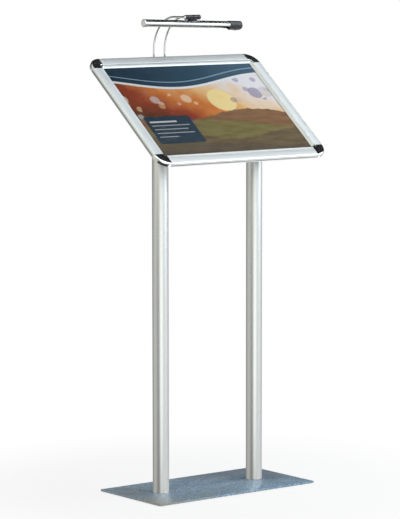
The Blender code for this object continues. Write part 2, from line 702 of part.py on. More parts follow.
def make_bracket(board):
    bracket = extruded("lamp_bracket", [bracket_outline()], BRACKET_WIDTH, ALONG_X)
    piece(bracket, "bare_steel")
    clamp_top = SHELF_TOP - BRACKET_THICK - GAP
    clamp_mid = clamp_top - CLAMP_HEIGHT / 2
    clamp = box("rod_clamp", (CLAMP_WIDTH, CLAMP_DEPTH, CLAMP_HEIGHT), CLAMP_EDGE)
    place(piece(clamp, "black_plastic"), location=(0, ARM_Y, clamp_mid))
    for hand, sign in HANDS.items():
        x = sign * BRACKET_SCREW_SPACING / 2
        v = BOARD_LENGTH / 2 - KEY_MID
        frame_screw("bracket_screw_" + hand, board, x, v, BRACKET_THICK)
        hole = cylinder("bracket_hole_" + hand, FRAME_SCREW_DIAMETER / 2 + GAP,
                        BRACKET_THICK + 2 * GAP)
        place(hole, board, (x, v, -BAR_FACE - BRACKET_THICK / 2))
        combine(bracket, hole, "DIFFERENCE")
        for name, obj in (("bracket_rod_hole_", bracket), ("clamp_rod_hole_", clamp)):
            hole = cylinder(name + hand, ARM_DIAMETER / 2 + GAP, 2 * CLAMP_HEIGHT)
            place(hole, location=(sign * ARM_SPACING / 2, ARM_Y, clamp_mid))
            combine(obj, hole, "DIFFERENCE")

    back = ARM_Y + CLAMP_DEPTH / 2
    bolt = button_screw("clamp_bolt", CLAMP_BOLT_DIAMETER, CLAMP_BOLT_BITE + GAP,
                        CLAMP_BOLT_HEAD, CLAMP_BOLT_HEAD_THICK)
    piece(bolt, "bare_steel", RIGHT_ANGLE / 2)
    place(bolt, location=(0, back + GAP, clamp_mid), rotation=(RIGHT_ANGLE, 0, 0))
    depth = CLAMP_BOLT_BITE + GAP + CUT_OVER
    hole = cylinder("bolt_hole", CLAMP_BOLT_DIAMETER / 2 + GAP, depth)
    y = back - CLAMP_BOLT_BITE - GAP + depth / 2
    place(hole, location=(0, y, clamp_mid), rotation=(RIGHT_ANGLE, 0, 0))
    combine(clamp, hole, "DIFFERENCE")

    outer = GLAND_DIAMETER / 2
    bore = GLAND_BORE / 2
    profile = [(0, 0), (outer, 0), (outer, -GLAND_NUT), (outer * 0.8, -GLAND_NUT),
               (outer * 0.55, -GLAND_LENGTH), (bore, -GLAND_LENGTH), (bore, -GLAND_NUT),
               (0, -GLAND_NUT)]
    gland = turned("cable_gland", profile, SCREW_STEPS + 2)
    piece(gland, "black_plastic", RIGHT_ANGLE / 2)
    place(gland, location=(0, ARM_Y, clamp_top - CLAMP_HEIGHT - GAP))
    return clamp_top - CLAMP_HEIGHT


def make_arms(low):
    """Two rods rise behind the board and bend forward to the swivel's barrels."""
    centre = (ARM_Y - ARM_BEND, SWIVEL_Z - ARM_BEND)
    bend = arc(centre, ARM_BEND, 0, RIGHT_ANGLE, ARM_BEND_STEPS)
    end = LAMP_Y + (PIN_DIAMETER / 2 + BARREL_RADIUS) / 2
    for hand, sign in HANDS.items():
        x = sign * ARM_SPACING / 2
        path = [(ARM_Y, low)] + bend + [(end, SWIVEL_Z)]
        arm = rod("lamp_arm_" + hand, [(x, y, z) for y, z in path], ARM_DIAMETER)
        piece(arm, "chrome", RIGHT_ANGLE / 2)
        length = BARREL_OUT - SADDLE_GAP
        barrel = cylinder("arm_barrel_" + hand, BARREL_RADIUS, length, LAMP_STEPS)
        centre_x = sign * (BARREL_OUT + SADDLE_GAP) / 2
        place(barrel, location=(centre_x, LAMP_Y, SWIVEL_Z), rotation=(0, RIGHT_ANGLE, 0))
        combine(arm, barrel, "UNION")
        bore = cylinder("arm_bore_" + hand, PIN_DIAMETER / 2 + GAP, length + 2 * CUT_OVER)
        place(bore, location=(centre_x, LAMP_Y, SWIVEL_Z), rotation=(0, RIGHT_ANGLE, 0))
        combine(arm, bore, "DIFFERENCE")


def make_swivel(head):
    """The saddle turns with the lamp on a pin held between the arms' barrels."""
    saddle = cylinder("swivel_saddle", BARREL_RADIUS, 2 * SADDLE_HALF, LAMP_STEPS)
    piece(saddle, "chrome", RIGHT_ANGLE / 2)
    place(saddle, location=(0, LAMP_Y, SWIVEL_Z), rotation=(0, RIGHT_ANGLE, 0))
    low = LAMP_Z + SHADE_RADIUS / 2
    high = SWIVEL_Z - BARREL_RADIUS / 3
    foot = box("saddle_foot", (2 * SADDLE_HALF * 0.9, SADDLE_DEPTH, high - low))
    combine(saddle, place(foot, location=(0, LAMP_Y, (high + low) / 2)), "UNION")
    seat = cylinder("saddle_seat", SHADE_RADIUS + GAP, 4 * SADDLE_HALF, 2 * LAMP_STEPS)
    combine(saddle, place(seat, head, rotation=(0, RIGHT_ANGLE, 0)), "DIFFERENCE")
    bore = cylinder("saddle_bore", PIN_DIAMETER / 2 + GAP, 4 * SADDLE_HALF)
    place(bore, location=(0, LAMP_Y, SWIVEL_Z), rotation=(0, RIGHT_ANGLE, 0))
    combine(saddle, bore, "DIFFERENCE")

    end = BARREL_OUT + GAP
    radius = PIN_DIAMETER / 2
    cap = PIN_HEAD / 2
    tip = end + NUT_THICK
    profile = [(0, tip), (radius, tip), (radius, -end), (cap, -end),
               (cap, -end - PIN_HEAD_THICK / 2), (cap * 0.7, -end - PIN_HEAD_THICK),
               (0, -end - PIN_HEAD_THICK)]
    pin = turned("swivel_pin", profile, SCREW_STEPS)
    piece(pin, "chrome", RIGHT_ANGLE / 2)
    place(pin, location=(0, LAMP_Y, SWIVEL_Z), rotation=(0, RIGHT_ANGLE, 0))
    bore = radius + GAP
    profile = [(cap * 0.8, NUT_THICK), (cap, NUT_THICK * 0.7), (cap, 0), (bore, 0),
               (bore, NUT_THICK)]
    nut = turned("swivel_nut", profile, SCREW_STEPS, ring=True)
    piece(nut, "chrome", RIGHT_ANGLE / 2)
    place(nut, location=(end, LAMP_Y, SWIVEL_Z), rotation=(0, RIGHT_ANGLE, 0))


def open_ring(radius, wall, half_slot, steps):
    """A ring's section with a slot at the bottom, half_slot to each side."""
    start = half_slot - RIGHT_ANGLE
    end = 3 * RIGHT_ANGLE - half_slot
    outer = arc((0, 0), radius, start, end, steps)
    return outer + arc((0, 0), radius - wall, end, start, steps)


def end_cap(name, outer):
    """An end cap with its plug and the lamp's socket, its outer face at local +Z."""
    plug = SHADE_INNER - GAP
    cup = TUBE_RADIUS + GAP
    socket = cup + SOCKET_WALL
    mouth = -END_PLUG - SOCKET_LENGTH
    profile = [(0, END_THICK), (outer - END_EDGE, END_THICK), (outer, END_THICK - END_EDGE),
               (outer, 0), (plug, 0), (plug, -END_PLUG), (socket, -END_PLUG), (socket, mouth),
               (cup, mouth), (cup, mouth + SOCKET_DEPTH), (0, mouth + SOCKET_DEPTH)]
    return turned(name, profile, LAMP_STEPS)


def make_head(head):
    half = SHADE_LENGTH / 2
    shade = extruded("lamp_shade", [open_ring(SHADE_RADIUS, SHADE_WALL, SLOT_HALF, LAMP_STEPS)],
                     SHADE_LENGTH, ALONG_X)
    place(piece(shade, "chrome", RIGHT_ANGLE / 2), head)
    section = open_ring(SHADE_INNER - GAP, REFLECTOR_THICK, REFLECTOR_HALF, LAMP_STEPS - 4)
    reflector = extruded("lamp_reflector", [section], 2 * (half - END_PLUG - GAP) + 2 * GAP,
                         ALONG_X)
    place(piece(reflector, "bare_steel", RIGHT_ANGLE / 2), head)
    for hand, sign in HANDS.items():
        finish = "chrome" if hand == "left" else "black_plastic"
        outer = END_DIAMETER / 2 if hand == "left" else SLEEVE_RADIUS
        cap = piece(end_cap("lamp_end_" + hand, outer), finish, RIGHT_ANGLE / 2)
        place(cap, head, (sign * (half + GAP), 0, 0), (0, sign * RIGHT_ANGLE, 0))
    tube_end = half + GAP - END_PLUG - SOCKET_LENGTH + SOCKET_DEPTH - GAP
    edge = TUBE_RADIUS * 0.2
    profile = [(0, tube_end), (TUBE_RADIUS - edge, tube_end), (TUBE_RADIUS, tube_end - edge),
               (TUBE_RADIUS, edge - tube_end), (TUBE_RADIUS - edge, -tube_end), (0, -tube_end)]
    tube = turned("lamp_tube", profile, LAMP_STEPS - 8)
    place(piece(tube, "glass", RIGHT_ANGLE / 2), head, rotation=(0, RIGHT_ANGLE, 0))


def make_switch(head):
    """A rocker in a housing moulded to the right end cap, with a sleeve round the shade."""
    half = SHADE_LENGTH / 2
    end = bpy.data.objects["lamp_end_right"]
    height = SWITCH_BOTTOM - SWITCH_TOP
    low = half + GAP - SWITCH_LENGTH
    housing = box("switch_housing", (SWITCH_LENGTH - END_EDGE, SWITCH_WIDTH, height))
    place(housing, head, (low + SWITCH_LENGTH / 2, 0, -SWITCH_TOP - height / 2))
    combine(end, housing, "UNION")
    section = open_ring(SLEEVE_RADIUS, SLEEVE_WALL, SLEEVE_SLOT, LAMP_STEPS)
    sleeve = extruded("switch_sleeve", [section], SWITCH_LENGTH + END_EDGE, ALONG_X)
    combine(end, place(sleeve, head, (low + (SWITCH_LENGTH + END_EDGE) / 2, 0, 0)), "UNION")
    x = half - ROCKER_IN
    recess = box("switch_recess", (RECESS_LENGTH, ROCKER_WIDTH + 2 * GAP, RECESS_DEPTH + CUT_OVER))
    centre = -SWITCH_BOTTOM + (RECESS_DEPTH - CUT_OVER) / 2
    combine(end, place(recess, head, (x, 0, centre)), "DIFFERENCE")
    tip = ROCKER_LENGTH / 2
    outline = [(-tip, -ROCKER_END_DROP), (0, -ROCKER_MID_DROP), (tip, -ROCKER_END_DROP),
               (tip, ROCKER_BACK_END), (0, ROCKER_BACK_MID), (-tip, ROCKER_BACK_END)]
    upright = Matrix.Rotation(RIGHT_ANGLE, 4, "X")
    rocker = extruded("switch_rocker", [outline], ROCKER_WIDTH, upright)
    piece(rocker, "black_plastic")
    place(rocker, head, (x, 0, -ROCKER_AXIS), (0, ROCKER_SWING / 2, 0))


def build():
    clear_scene()
    new_collection("information_board")
    new_collection("cutters")
    make_materials()
    board = empty("board_axis", (0, BOARD_MID_Y, BOARD_MID_Z), (BOARD_TILT, 0, 0))
    head = empty("lamp_axis", (0, LAMP_Y, LAMP_Z), (LAMP_TURN, LAMP_ROLL, 0))
    make_base()
    make_posts(board)
    make_mounting_rails(board)
    make_sides(board)
    make_corners(board)
    make_sheets(board)
    low = make_bracket(board)
    make_arms(low)
    make_swivel(head)
    make_head(head)
    make_switch(head)
    bpy.context.view_layer.update()


build()
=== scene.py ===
"""Looks of a free-standing information board: a sloping snap-open poster frame on two round
posts and a steel base, with a picture light on two bent rods.

Laid out as a Blender add-on and run as a script. Sizes are in metres, in the frame's axes.
"""

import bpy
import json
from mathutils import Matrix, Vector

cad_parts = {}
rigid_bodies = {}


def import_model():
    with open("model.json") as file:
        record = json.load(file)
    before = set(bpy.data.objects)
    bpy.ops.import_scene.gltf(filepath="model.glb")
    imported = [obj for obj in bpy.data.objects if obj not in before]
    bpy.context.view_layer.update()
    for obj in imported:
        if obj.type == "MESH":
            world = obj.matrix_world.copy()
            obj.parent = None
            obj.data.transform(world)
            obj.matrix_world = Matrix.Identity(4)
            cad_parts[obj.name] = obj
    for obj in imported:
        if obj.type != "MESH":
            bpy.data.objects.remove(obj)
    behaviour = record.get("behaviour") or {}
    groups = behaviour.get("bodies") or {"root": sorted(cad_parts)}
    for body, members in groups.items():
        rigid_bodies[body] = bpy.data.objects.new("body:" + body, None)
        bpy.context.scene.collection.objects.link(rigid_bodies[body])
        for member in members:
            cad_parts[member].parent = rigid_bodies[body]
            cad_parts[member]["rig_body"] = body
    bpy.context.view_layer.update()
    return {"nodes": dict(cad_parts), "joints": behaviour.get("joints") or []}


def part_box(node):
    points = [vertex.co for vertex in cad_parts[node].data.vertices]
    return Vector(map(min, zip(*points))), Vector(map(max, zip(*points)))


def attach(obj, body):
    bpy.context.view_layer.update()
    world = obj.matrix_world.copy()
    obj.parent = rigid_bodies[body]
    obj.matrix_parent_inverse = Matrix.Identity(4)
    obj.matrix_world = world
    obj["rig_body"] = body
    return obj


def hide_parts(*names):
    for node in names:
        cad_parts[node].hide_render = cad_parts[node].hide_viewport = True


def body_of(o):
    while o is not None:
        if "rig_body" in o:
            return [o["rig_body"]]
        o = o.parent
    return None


bl_info = {
    "name": "Information Board Stand",
    "version": (1, 0, 0),
    "blender": (4, 5, 0),
    "location": "3D View > Sidebar > Board Stand",
    "description": "Finished pieces of a sloping poster stand with a picture light",
    "category": "Add Mesh",
}

import json
import math

import bmesh
import bpy
from bpy.props import FloatProperty, FloatVectorProperty, PointerProperty
from bpy.types import Operator, PropertyGroup
from mathutils import Matrix, Vector

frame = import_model()

FIT = 0.0003                # between pieces that touch
WELD = 0.000002             # vertices closer than this are one
RIGHT_ANGLE = math.pi / 2
SMOOTH = math.radians(32)   # edges sharper than this stay crisp
POST_SIDES = 128
LAMP_SIDES = 96
SCREW_SIDES = 48
ROD_SIDES = 32              # rods and bosses
NUT_SIDES = 36
BEND_STEPS = 40             # along a bent rod, and round a corner cap
ROLL_STEPS = 28             # round a rail's rolled edge

# Roundings of crisp edges
PLATE_EDGE = 0.0006
MAT_EDGE = 0.0003
TUBE_EDGE = 0.0005          # posts' ends and the swivel
CASTING_EDGE = 0.0007
BAR_EDGE = 0.0004           # bars, bracket, clamp, gland and rocker
SHEET_EDGE = 0.0002         # sheets and fixed profiles
SWITCH_EDGE = 0.0012

# Diameter and height of head, by the first word of the node
SCREWS = {"head": (0.006, 0.004), "rail": (0.004, 0.0024), "bracket": (0.004, 0.0024),
          "clamp": (0.005, 0.004), "swivel": (0.005, 0.003)}

# Small sizes of rails and corner caps
LEG_IN = 0.024              # from the outer edge to the leg that snaps
LEG_WALL = 0.0012
LEG_DROP = 0.0045
BOSS = 0.008
BOSS_IN = 0.01925           # from both outer edges
BOSS_DROP = 0.0072
STEP_RUN = 0.0012
STEP_DROP = 0.0020
# Groove, face end, step and lip: run inwards from the face's end, drop and softening
FACE_LINE = ((-0.0070, 0, 0.0004), (-0.0062, 0.0008, 0.0003), (0, 0, 0.0005),
             (STEP_RUN, STEP_DROP, 0.0005), (0.0046, 0.0046, 0.0003),
             (0.0065, 0.0058, 0.0003), (0.0051, 0.0058, 0.0003))

# Small sizes of the lamp
SADDLE_HALF = 0.014
BRACKET_BEND = 0.004
NUT_THICK = 0.004
GLAND_NUT = 0.005
GLAND_BORE = 0.0025         # radius
REFLECTOR = 0.0006          # thickness
FERRULE = 0.009
END_THICK = 0.0035
END_EDGE = 0.0028
END_PLUG = 0.008
SOCKET = 0.008
SOCKET_WALL = 0.0011
SOCKET_DEPTH = 0.006
SLEEVE_WALL = 0.001
SLEEVE_SLOT = math.radians(28)
HOUSING_PLAY = 0.001        # from the switch housing to the cap's face
SWITCH_TOP = 0.0072         # below the tube's axis
SWITCH_BOTTOM = 0.014
RECESS_HALF = Vector((0.008, 0.0043))
RECESS_DEPTH = 0.0045

HANDS = {"left": -1, "right": 1}
ENDS = ("lower", "upper")
ACROSS = Vector((1, 0, 0))
BACK = Vector((0, 1, 0))
UP = Vector((0, 0, 1))
HERE = Matrix.Identity(4)
at = Matrix.Translation

PIVOTS = {joint["name"]: Vector(joint["pos_m"]) for joint in frame["joints"]}
AXES = {joint["name"]: Vector(joint["axis"]) for joint in frame["joints"]}
HINGE_LOW = PIVOTS["snap_rail_bottom_hinge"]
HINGE_HIGH = PIVOTS["snap_rail_top_hinge"]
SLOPE = AXES["snap_rail_right_hinge"]
SWIVEL = PIVOTS["lamp_swivel"]
ROCKER_AXIS = AXES["switch_rock"]


def axes(origin, along, up):
    """A placing matrix with X along, Y as given and Z square to both."""
    matrix = Matrix((along, up, along.cross(up))).transposed().to_4x4()
    matrix.translation = origin
    return matrix


def node_size(node):
    low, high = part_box(node)
    return high - low


def node_middle(node):
    low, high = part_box(node)
    return (low + high) / 2


BOARD_WIDTH = -2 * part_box("frame_profile_left")[0].x
HINGE_IN = BOARD_WIDTH / 2 - PIVOTS["snap_rail_right_hinge"].x
BOARD_LENGTH = (HINGE_HIGH - HINGE_LOW).length + 2 * HINGE_IN
BOARD = axes((HINGE_LOW + HINGE_HIGH) / 2 + ACROSS.cross(SLOPE) * HINGE_IN, ACROSS, SLOPE)
CAP_REACH = (BOARD_WIDTH - node_size("snap_rail_bottom").x) / 2
LAMP_LENGTH = node_size("lamp_shade").x
LAMP_ROLL = math.atan(ROCKER_AXIS.x / ROCKER_AXIS.z)
LAMP_TURN = math.asin(ROCKER_AXIS.z / math.cos(LAMP_ROLL))
LAMP = (at(node_middle("lamp_tube")) @ Matrix.Rotation(LAMP_ROLL, 4, "Y")
        @ Matrix.Rotation(LAMP_TURN, 4, "X"))
OUTWARDS = {hand: Matrix.Rotation(sign * RIGHT_ANGLE, 4, "Y") for hand, sign in HANDS.items()}
ALONG_LAMP = OUTWARDS["right"]      # local Z to the lamp's X

# Place across and up the board, from -1 to 1, and turn in right angles
SIDES = {"bottom": (0, -1, 0), "right": (1, 0, 1), "top": (0, 1, 2), "left": (-1, 0, -1)}
CORNERS = {"bottom_left": (-1, -1, 0), "bottom_right": (1, -1, 1), "top_right": (1, 1, 2),
           "top_left": (-1, 1, -1)}


def edge_place(across, up, turns):
    """Axes at the board's edge: X along it, Y inwards and Z out of the face."""
    spot = Vector((across * BOARD_WIDTH / 2, up * BOARD_LENGTH / 2, 0))
    return BOARD @ at(spot) @ Matrix.Rotation(turns * RIGHT_ANGLE, 4, "Z")


def along_finish(side):
    return "aluminium up the slope" if side in HANDS else "aluminium across"


def srgb(*values):
    """A linear colour from 0 to 255 display values."""
    return tuple(share / 12.92 if share <= 0.04045 else ((share + 0.055) / 1.055) ** 2.4
                 for share in (value / 255 for value in values))


def length(text, default):
    return FloatProperty(name=text, description=text + ", in metres", default=default, min=0.0,
                         unit="LENGTH", precision=4)


def turn(text, degrees):
    return FloatProperty(name=text, description=text + ", as an angle", subtype="ANGLE",
                         default=math.radians(degrees))


def colour(text, default):
    return FloatVectorProperty(name=text, description=text + ", as a linear colour", size=3,
                               default=default, min=0.0, max=1.0, subtype="COLOR")


class FrameSizes(PropertyGroup):
    post_wall: length("Wall of the posts", 0.002)
    rail_shell: length("Wall of a hinged rail", 0.0014)
    hinge_wrap: turn("Turn of a rail's edge round its bead", 130)
    face_end: length("Width of a rail's face", 0.036)
    cap_size: length("Outer radius of a corner cap", 0.0445)
    cap_shell: length("Wall of a corner cap", 0.0016)
    board_thick: length("Thickness of the frame", 0.013)


class LampSizes(PropertyGroup):
    rod: length("Diameter of the bent rods", 0.006)
    rod_spacing: length("Distance between the rods' axes", 0.042)
    rod_bend: length("Radius of the rods' bend", 0.106)
    barrel: length("Diameter of the swivel barrels", 0.015)
    barrel_out: length("Distance from the middle to a barrel's end", 0.0275)
    pin: length("Diameter of the swivel pin", 0.005)
    pin_head: length("Diameter of the swivel nut", 0.010)
    shade: length("Diameter of the lamp shade", 0.024)
    shade_wall: length("Wall of the lamp shade", 0.0008)
    shade_length: length("Length of the lamp shade", 0.368)
    slot_half: turn("Half the shade's slot", 48)
    reflector_half: turn("Half the reflector's gap", 55)
    end: length("Diameter of the left end cap", 0.0244)
    tube: length("Diameter of the lamp tube", 0.011)
    switch_length: length("Length of the switch housing", 0.044)
    switch_width: length("Width of the switch housing", 0.013)


class FinishColours(PropertyGroup):
    aluminium: colour("Anodised rails and posts", srgb(230, 232, 232))
    chrome: colour("Plated lamp and corners", srgb(226, 228, 230))
    nickel: colour("Black plating of the swivel", (0.060, 0.061, 0.064))
    plate: colour("Hammered paint", srgb(174, 208, 230))
    plate_dark: colour("Hollows of the hammered paint", srgb(124, 152, 177))
    zinc: colour("Plated steel behind the board", srgb(176, 180, 184))
    casting: colour("Powder coat of the post heads", srgb(122, 125, 128))
    rubber: colour("Rubber underlay", srgb(34, 34, 35))
    plastic: colour("Clamp, gland and switch", srgb(28, 28, 30))
    panel: colour("Back panel", srgb(226, 228, 228))
    reflector: colour("Polished reflector", srgb(232, 232, 228))
    lamp: colour("Coated glass of the lamp tube", srgb(240, 242, 238))
    cover: colour("Clear cover", (0.10, 0.11, 0.11))
    navy: colour("Dark field of the print", srgb(22, 54, 74))
    amber: colour("Evening light of the print", srgb(214, 128, 62))
    olive: colour("Hills of the print", srgb(112, 100, 36))
    umber: colour("Foreground of the print", srgb(74, 44, 20))


# Shader maths

class Signal:
    """A socket in a finish's node tree; sums on it add Math nodes."""

    def __init__(self, finish, socket):
        self.finish = finish
        self.socket = socket

    def maths(self, operation, *others):
        return self.finish.node("Math", self, *others, operation=operation)

    def __add__(self, other):
        return self.maths("ADD", other)

    def __sub__(self, other):
        return self.maths("SUBTRACT", other)

    def __rsub__(self, other):
        return self.finish.node("Math", other, self, operation="SUBTRACT")

    def __mul__(self, other):
        return self.maths("MULTIPLY", other)

    def __truediv__(self, other):
        return self.maths("DIVIDE", other)

    def __abs__(self):
        return self.maths("ABSOLUTE")

    __radd__ = __add__
    __rmul__ = __mul__

    def most(self, other):
        return self.maths("MAXIMUM", other)

    def rise(self, start, end):
        """0 up to start and 1 from end on, with a smooth step between."""
        return self.finish.node("MapRange", self, start, end, interpolation_type="SMOOTHSTEP")


class Finish:
    """A node tree with a shader, and the method that adds nodes to it."""

    def __init__(self, owner):
        owner.use_nodes = True
        self.owner = owner
        self.tree = owner.node_tree

    def node(self, kind, *values, result=0, **named):
        """A new node with its first sockets' values; names with a capital are sockets too."""
        node = self.tree.nodes.new("ShaderNode" + kind)
        for key, value in named.items():
            if key.islower():
                setattr(node, key, value)
            else:
                self.plug(node.inputs[key], value)
        for socket, value in zip(node.inputs, values):
            self.plug(socket, value)
        return Signal(self, node.outputs[result])

    def plug(self, socket, value):
        if isinstance(value, Signal):
            self.tree.links.new(value.socket, socket)
        elif socket.type == "RGBA":
            socket.default_value = (*value, 1)
        else:
            socket.default_value = value

    def place(self):
        return self.node("TexCoord", result="Object")

    def ray(self, kind):
        return self.node("LightPath", result="Is " + kind + " Ray")

    def local(self, matrix):
        """Object coordinates in the axes of a placing matrix."""
        return self.node("Mapping", self.place(), matrix.translation, matrix.to_euler(),
                         vector_type="TEXTURE")

    def vector(self, operation, *values, result=0):
        return self.node("VectorMath", *values, operation=operation, result=result)

    def stretched(self, vector, *scale):
        return self.vector("MULTIPLY", vector, scale)

    def split(self, vector):
        """The X, Y and Z of a vector."""
        outputs = self.node("SeparateXYZ", vector).socket.node.outputs
        return [Signal(self, output) for output in outputs]

    def joined(self, x, y, z):
        return self.node("CombineXYZ", x, y, z)

    def noise(self, vector, scale, detail=2.0, roughness=0.5):
        return self.node("TexNoise", vector, Scale=scale, Detail=detail, Roughness=roughness)

    def cells(self, vector, scale, feature="F1"):
        return self.node("TexVoronoi", vector, feature=feature, Scale=scale, result="Distance")

    def cell_greys(self, vector, scale):
        cells = self.cells(vector, scale).socket.node
        return self.node("RGBToBW", Signal(self, cells.outputs["Color"]))

    def mix(self, share, first, second):
        blend = self.node("Mix", share, data_type="RGBA", result=2)
        self.plug(blend.socket.node.inputs[6], first)
        self.plug(blend.socket.node.inputs[7], second)
        return blend

    def ramp(self, share, stops):
        ramp = self.node("ValToRGB", share)
        elements = ramp.socket.node.color_ramp.elements
        while len(elements) < len(stops):
            elements.new(1.0)
        for element, (position, shade) in zip(elements, stops):
            element.position = position
            element.color = (*shade, 1)
        return ramp

    def bump(self, height, strength, distance):
        return self.node("Bump", Height=height, Strength=strength, Distance=distance)

    def shade(self, **values):
        """Sets the Principled shader's sockets; a name's underscores are spaces."""
        shader = self.tree.nodes["Principled BSDF"]
        for key, value in values.items():
            self.plug(shader.inputs[key.replace("_", " ")], value)


def mixed(first, second, share):
    """A colour between two constant ones, worked out once."""
    return tuple(a + (b - a) * share for a, b in zip(first, second))


def darker(shade, share):
    return mixed(shade, (0, 0, 0), share)


def lighter(shade, share):
    return mixed(shade, (1, 1, 1), share)


# Finishes

def drawn_metal(finish, shade, matrix, polish, painted_height_light=0.0):
    """Satin metal with fine lines along local X, with painted light lighter towards -Y and painted
    shade darker towards +Y, by the share of its last value.
    """
    local = finish.local(matrix)
    lines = finish.noise(finish.stretched(local, 9, 2600, 2600), 1.0, 3.0, 0.6)
    bands = finish.noise(finish.stretched(local, 1.2, 130, 130), 1.0)
    cloud = finish.noise(local, 14.0, 3.0)
    worn = lines * 0.5 + bands * 0.3 + cloud * 0.2
    tone = finish.mix(worn, darker(shade, 0.10), lighter(shade, 0.08))
    # Painted light on the lower rail and painted shade on the upper rail, by height on the board
    if painted_height_light:
        up = finish.split(local)[1]
        tone = finish.mix(up.rise(0.15, -0.15) * painted_height_light, tone, (1, 1, 1))
        tone = finish.mix(up.rise(-0.15, 0.15) * painted_height_light, tone, (0, 0, 0))
    finish.shade(Base_Color=tone, Metallic=1.0, Roughness=polish + 0.10 * worn,
                 Normal=finish.bump(lines, 0.10, 0.00004))


def plated(finish, shade, worn, share, polish, smear):
    """Plating with faint wiping marks, which turn its colour by a share to the worn one."""
    marks = finish.noise(finish.place(), 45.0, 4.0, 0.6)
    finish.shade(Base_Color=finish.mix(marks, mixed(shade, worn, share), shade), Metallic=1.0,
                 Roughness=polish + smear * marks)


def hammered_paint(finish, shade):
    """Grey-blue hammered enamel: smooth dimples, metal flake and a glossy top, with painted light
    towards the front left and painted shade towards the back and right.
    """
    hollow = bpy.context.scene.stand_colours.plate_dark
    place = finish.place()
    drift = finish.noise(place, 60.0) * 0.004
    shift = finish.joined(drift, drift, drift)
    rim = finish.cells(finish.vector("ADD", place, shift), 210.0, "SMOOTH_F1").rise(0.18, 0.62)
    flake = finish.noise(place, 1500.0, 1.0)
    patches = finish.noise(place, 7.0, 3.0) - 0.5
    tone = finish.mix(rim, finish.mix(flake.rise(0.55, 0.75), shade, lighter(shade, 0.35)), hollow)
    across, back, _ = finish.split(place)
    # Painted light: lighter and warmer towards the front left of the plate
    painted_light_share = patches * 0.9 - across * 1.3 - back * 1.2
    tone = finish.mix(painted_light_share.rise(0.0, 0.75) * 0.80, tone, srgb(176, 168, 150))
    # Painted shade: darker towards the back and the right of the plate
    painted_shade_share = patches * 0.5 + across * 1.2 + back * 1.4
    tone = finish.mix(painted_shade_share.rise(0.05, 0.40) * 0.85, tone, darker(hollow, 0.45))
    finish.shade(Base_Color=tone, Metallic=0.15, Roughness=0.34 + 0.12 * rim, Coat_Weight=0.25,
                 Coat_Roughness=0.25, Normal=finish.bump(1 - rim, 0.45, 0.0004))


def zinc_plate(finish, shade):
    """Zinc-plated steel with soft crystals and rolling marks."""
    place = finish.place()
    grain = finish.noise(finish.stretched(place, 900, 60, 60), 1.0)
    tone = finish.mix(finish.cell_greys(place, 260.0), darker(shade, 0.16), shade)
    finish.shade(Base_Color=tone, Metallic=1.0, Roughness=0.30 + 0.12 * grain,
                 Normal=finish.bump(grain, 0.08, 0.00005))


def moulded(finish, shade, roughness, grain, depth):
    """Moulded or coated surface with a fine pebble grain."""
    pebble = finish.noise(finish.place(), grain, 2.0, 0.55)
    tone = finish.mix(pebble, darker(shade, 0.14), lighter(shade, 0.05))
    finish.shade(Base_Color=tone, Roughness=roughness + 0.10 * pebble,
                 Normal=finish.bump(pebble, 0.30, depth))


def coated_glass(finish, shade):
    """White-coated lamp glass, greyer towards its ends."""
    along = abs(finish.split(finish.local(LAMP))[0]) / LAMP_LENGTH
    dust = finish.noise(finish.place(), 90.0, 3.0)
    tone = finish.mix(along.rise(0.40, 0.49), shade, darker(shade, 0.45))
    finish.shade(Base_Color=tone, Roughness=0.10 + 0.08 * dust, Coat_Weight=0.6)


def clear_sheet(finish, shade):
    """Thin clear cover: almost nothing but its gloss."""
    haze = finish.noise(finish.place(), 30.0, 3.0)
    finish.shade(Base_Color=shade, Roughness=0.08 + 0.06 * haze, Alpha=0.04)


def evening_sky(finish, colours, spot, across, up):
    """A glowing sky with clouds, a low sun and out-of-focus lights."""
    clouds = finish.noise(spot, 9.0, 4.0, 0.6)
    warmth = across * 1.5 + up * 2.2 + clouds * 0.5 + 0.18
    sky = finish.ramp(warmth, ((0.0, colours.umber), (0.24, srgb(150, 62, 34)),
                               (0.46, colours.amber), (0.68, srgb(240, 200, 140)),
                               (0.92, srgb(238, 236, 240))))
    sun = finish.vector("DISTANCE", spot, (0.075, 0.035, 0.0), result=1)
    sky = finish.mix(1 - sun.rise(0.048, 0.052), sky, srgb(250, 226, 160))
    for scale, size, strength in ((13.0, 0.30, 0.55), (24.0, 0.26, 0.45)):
        tint = finish.cell_greys(spot, scale)
        light = finish.ramp(tint, ((0.0, srgb(160, 36, 34)), (0.35, srgb(250, 190, 90)),
                                   (0.6, srgb(250, 246, 230)), (0.8, srgb(84, 72, 150))))
        disc = 1 - finish.cells(spot, scale).rise(size, size + 0.05)
        sky = finish.mix(disc * strength * tint.rise(0.3, 0.45), sky, light)
    return sky


def add_hills(finish, colours, tone, spot, across, up):
    """Four wavy ridges with fields on them, from the far one to the near one."""
    ridges = ((-0.030, 0.022, 11.0, 0.0, mixed(colours.umber, colours.amber, 0.25)),
              (-0.075, 0.026, 8.0, 1.9, colours.olive),
              (-0.120, 0.020, 13.0, 4.1, mixed(colours.olive, colours.umber, 0.8)),
              (-0.165, 0.014, 6.0, 2.6, darker(colours.umber, 0.35)))
    field = finish.noise(finish.stretched(spot, 14, 60, 1), 1.0, 4.0)
    for height, swell, pace, phase, earth in ridges:
        rough = finish.noise(finish.joined(across, phase, 0.0), 38.0, 5.0, 0.6) - 0.5
        depth = (across * pace + phase).maths("SINE") * swell + rough * 0.03 + height - up
        ground = finish.mix(field, darker(earth, 0.35), mixed(earth, (1, 0.9, 0.6), 0.16))
        tone = finish.mix(depth.rise(0.0, 0.0015), tone, ground)
    return tone


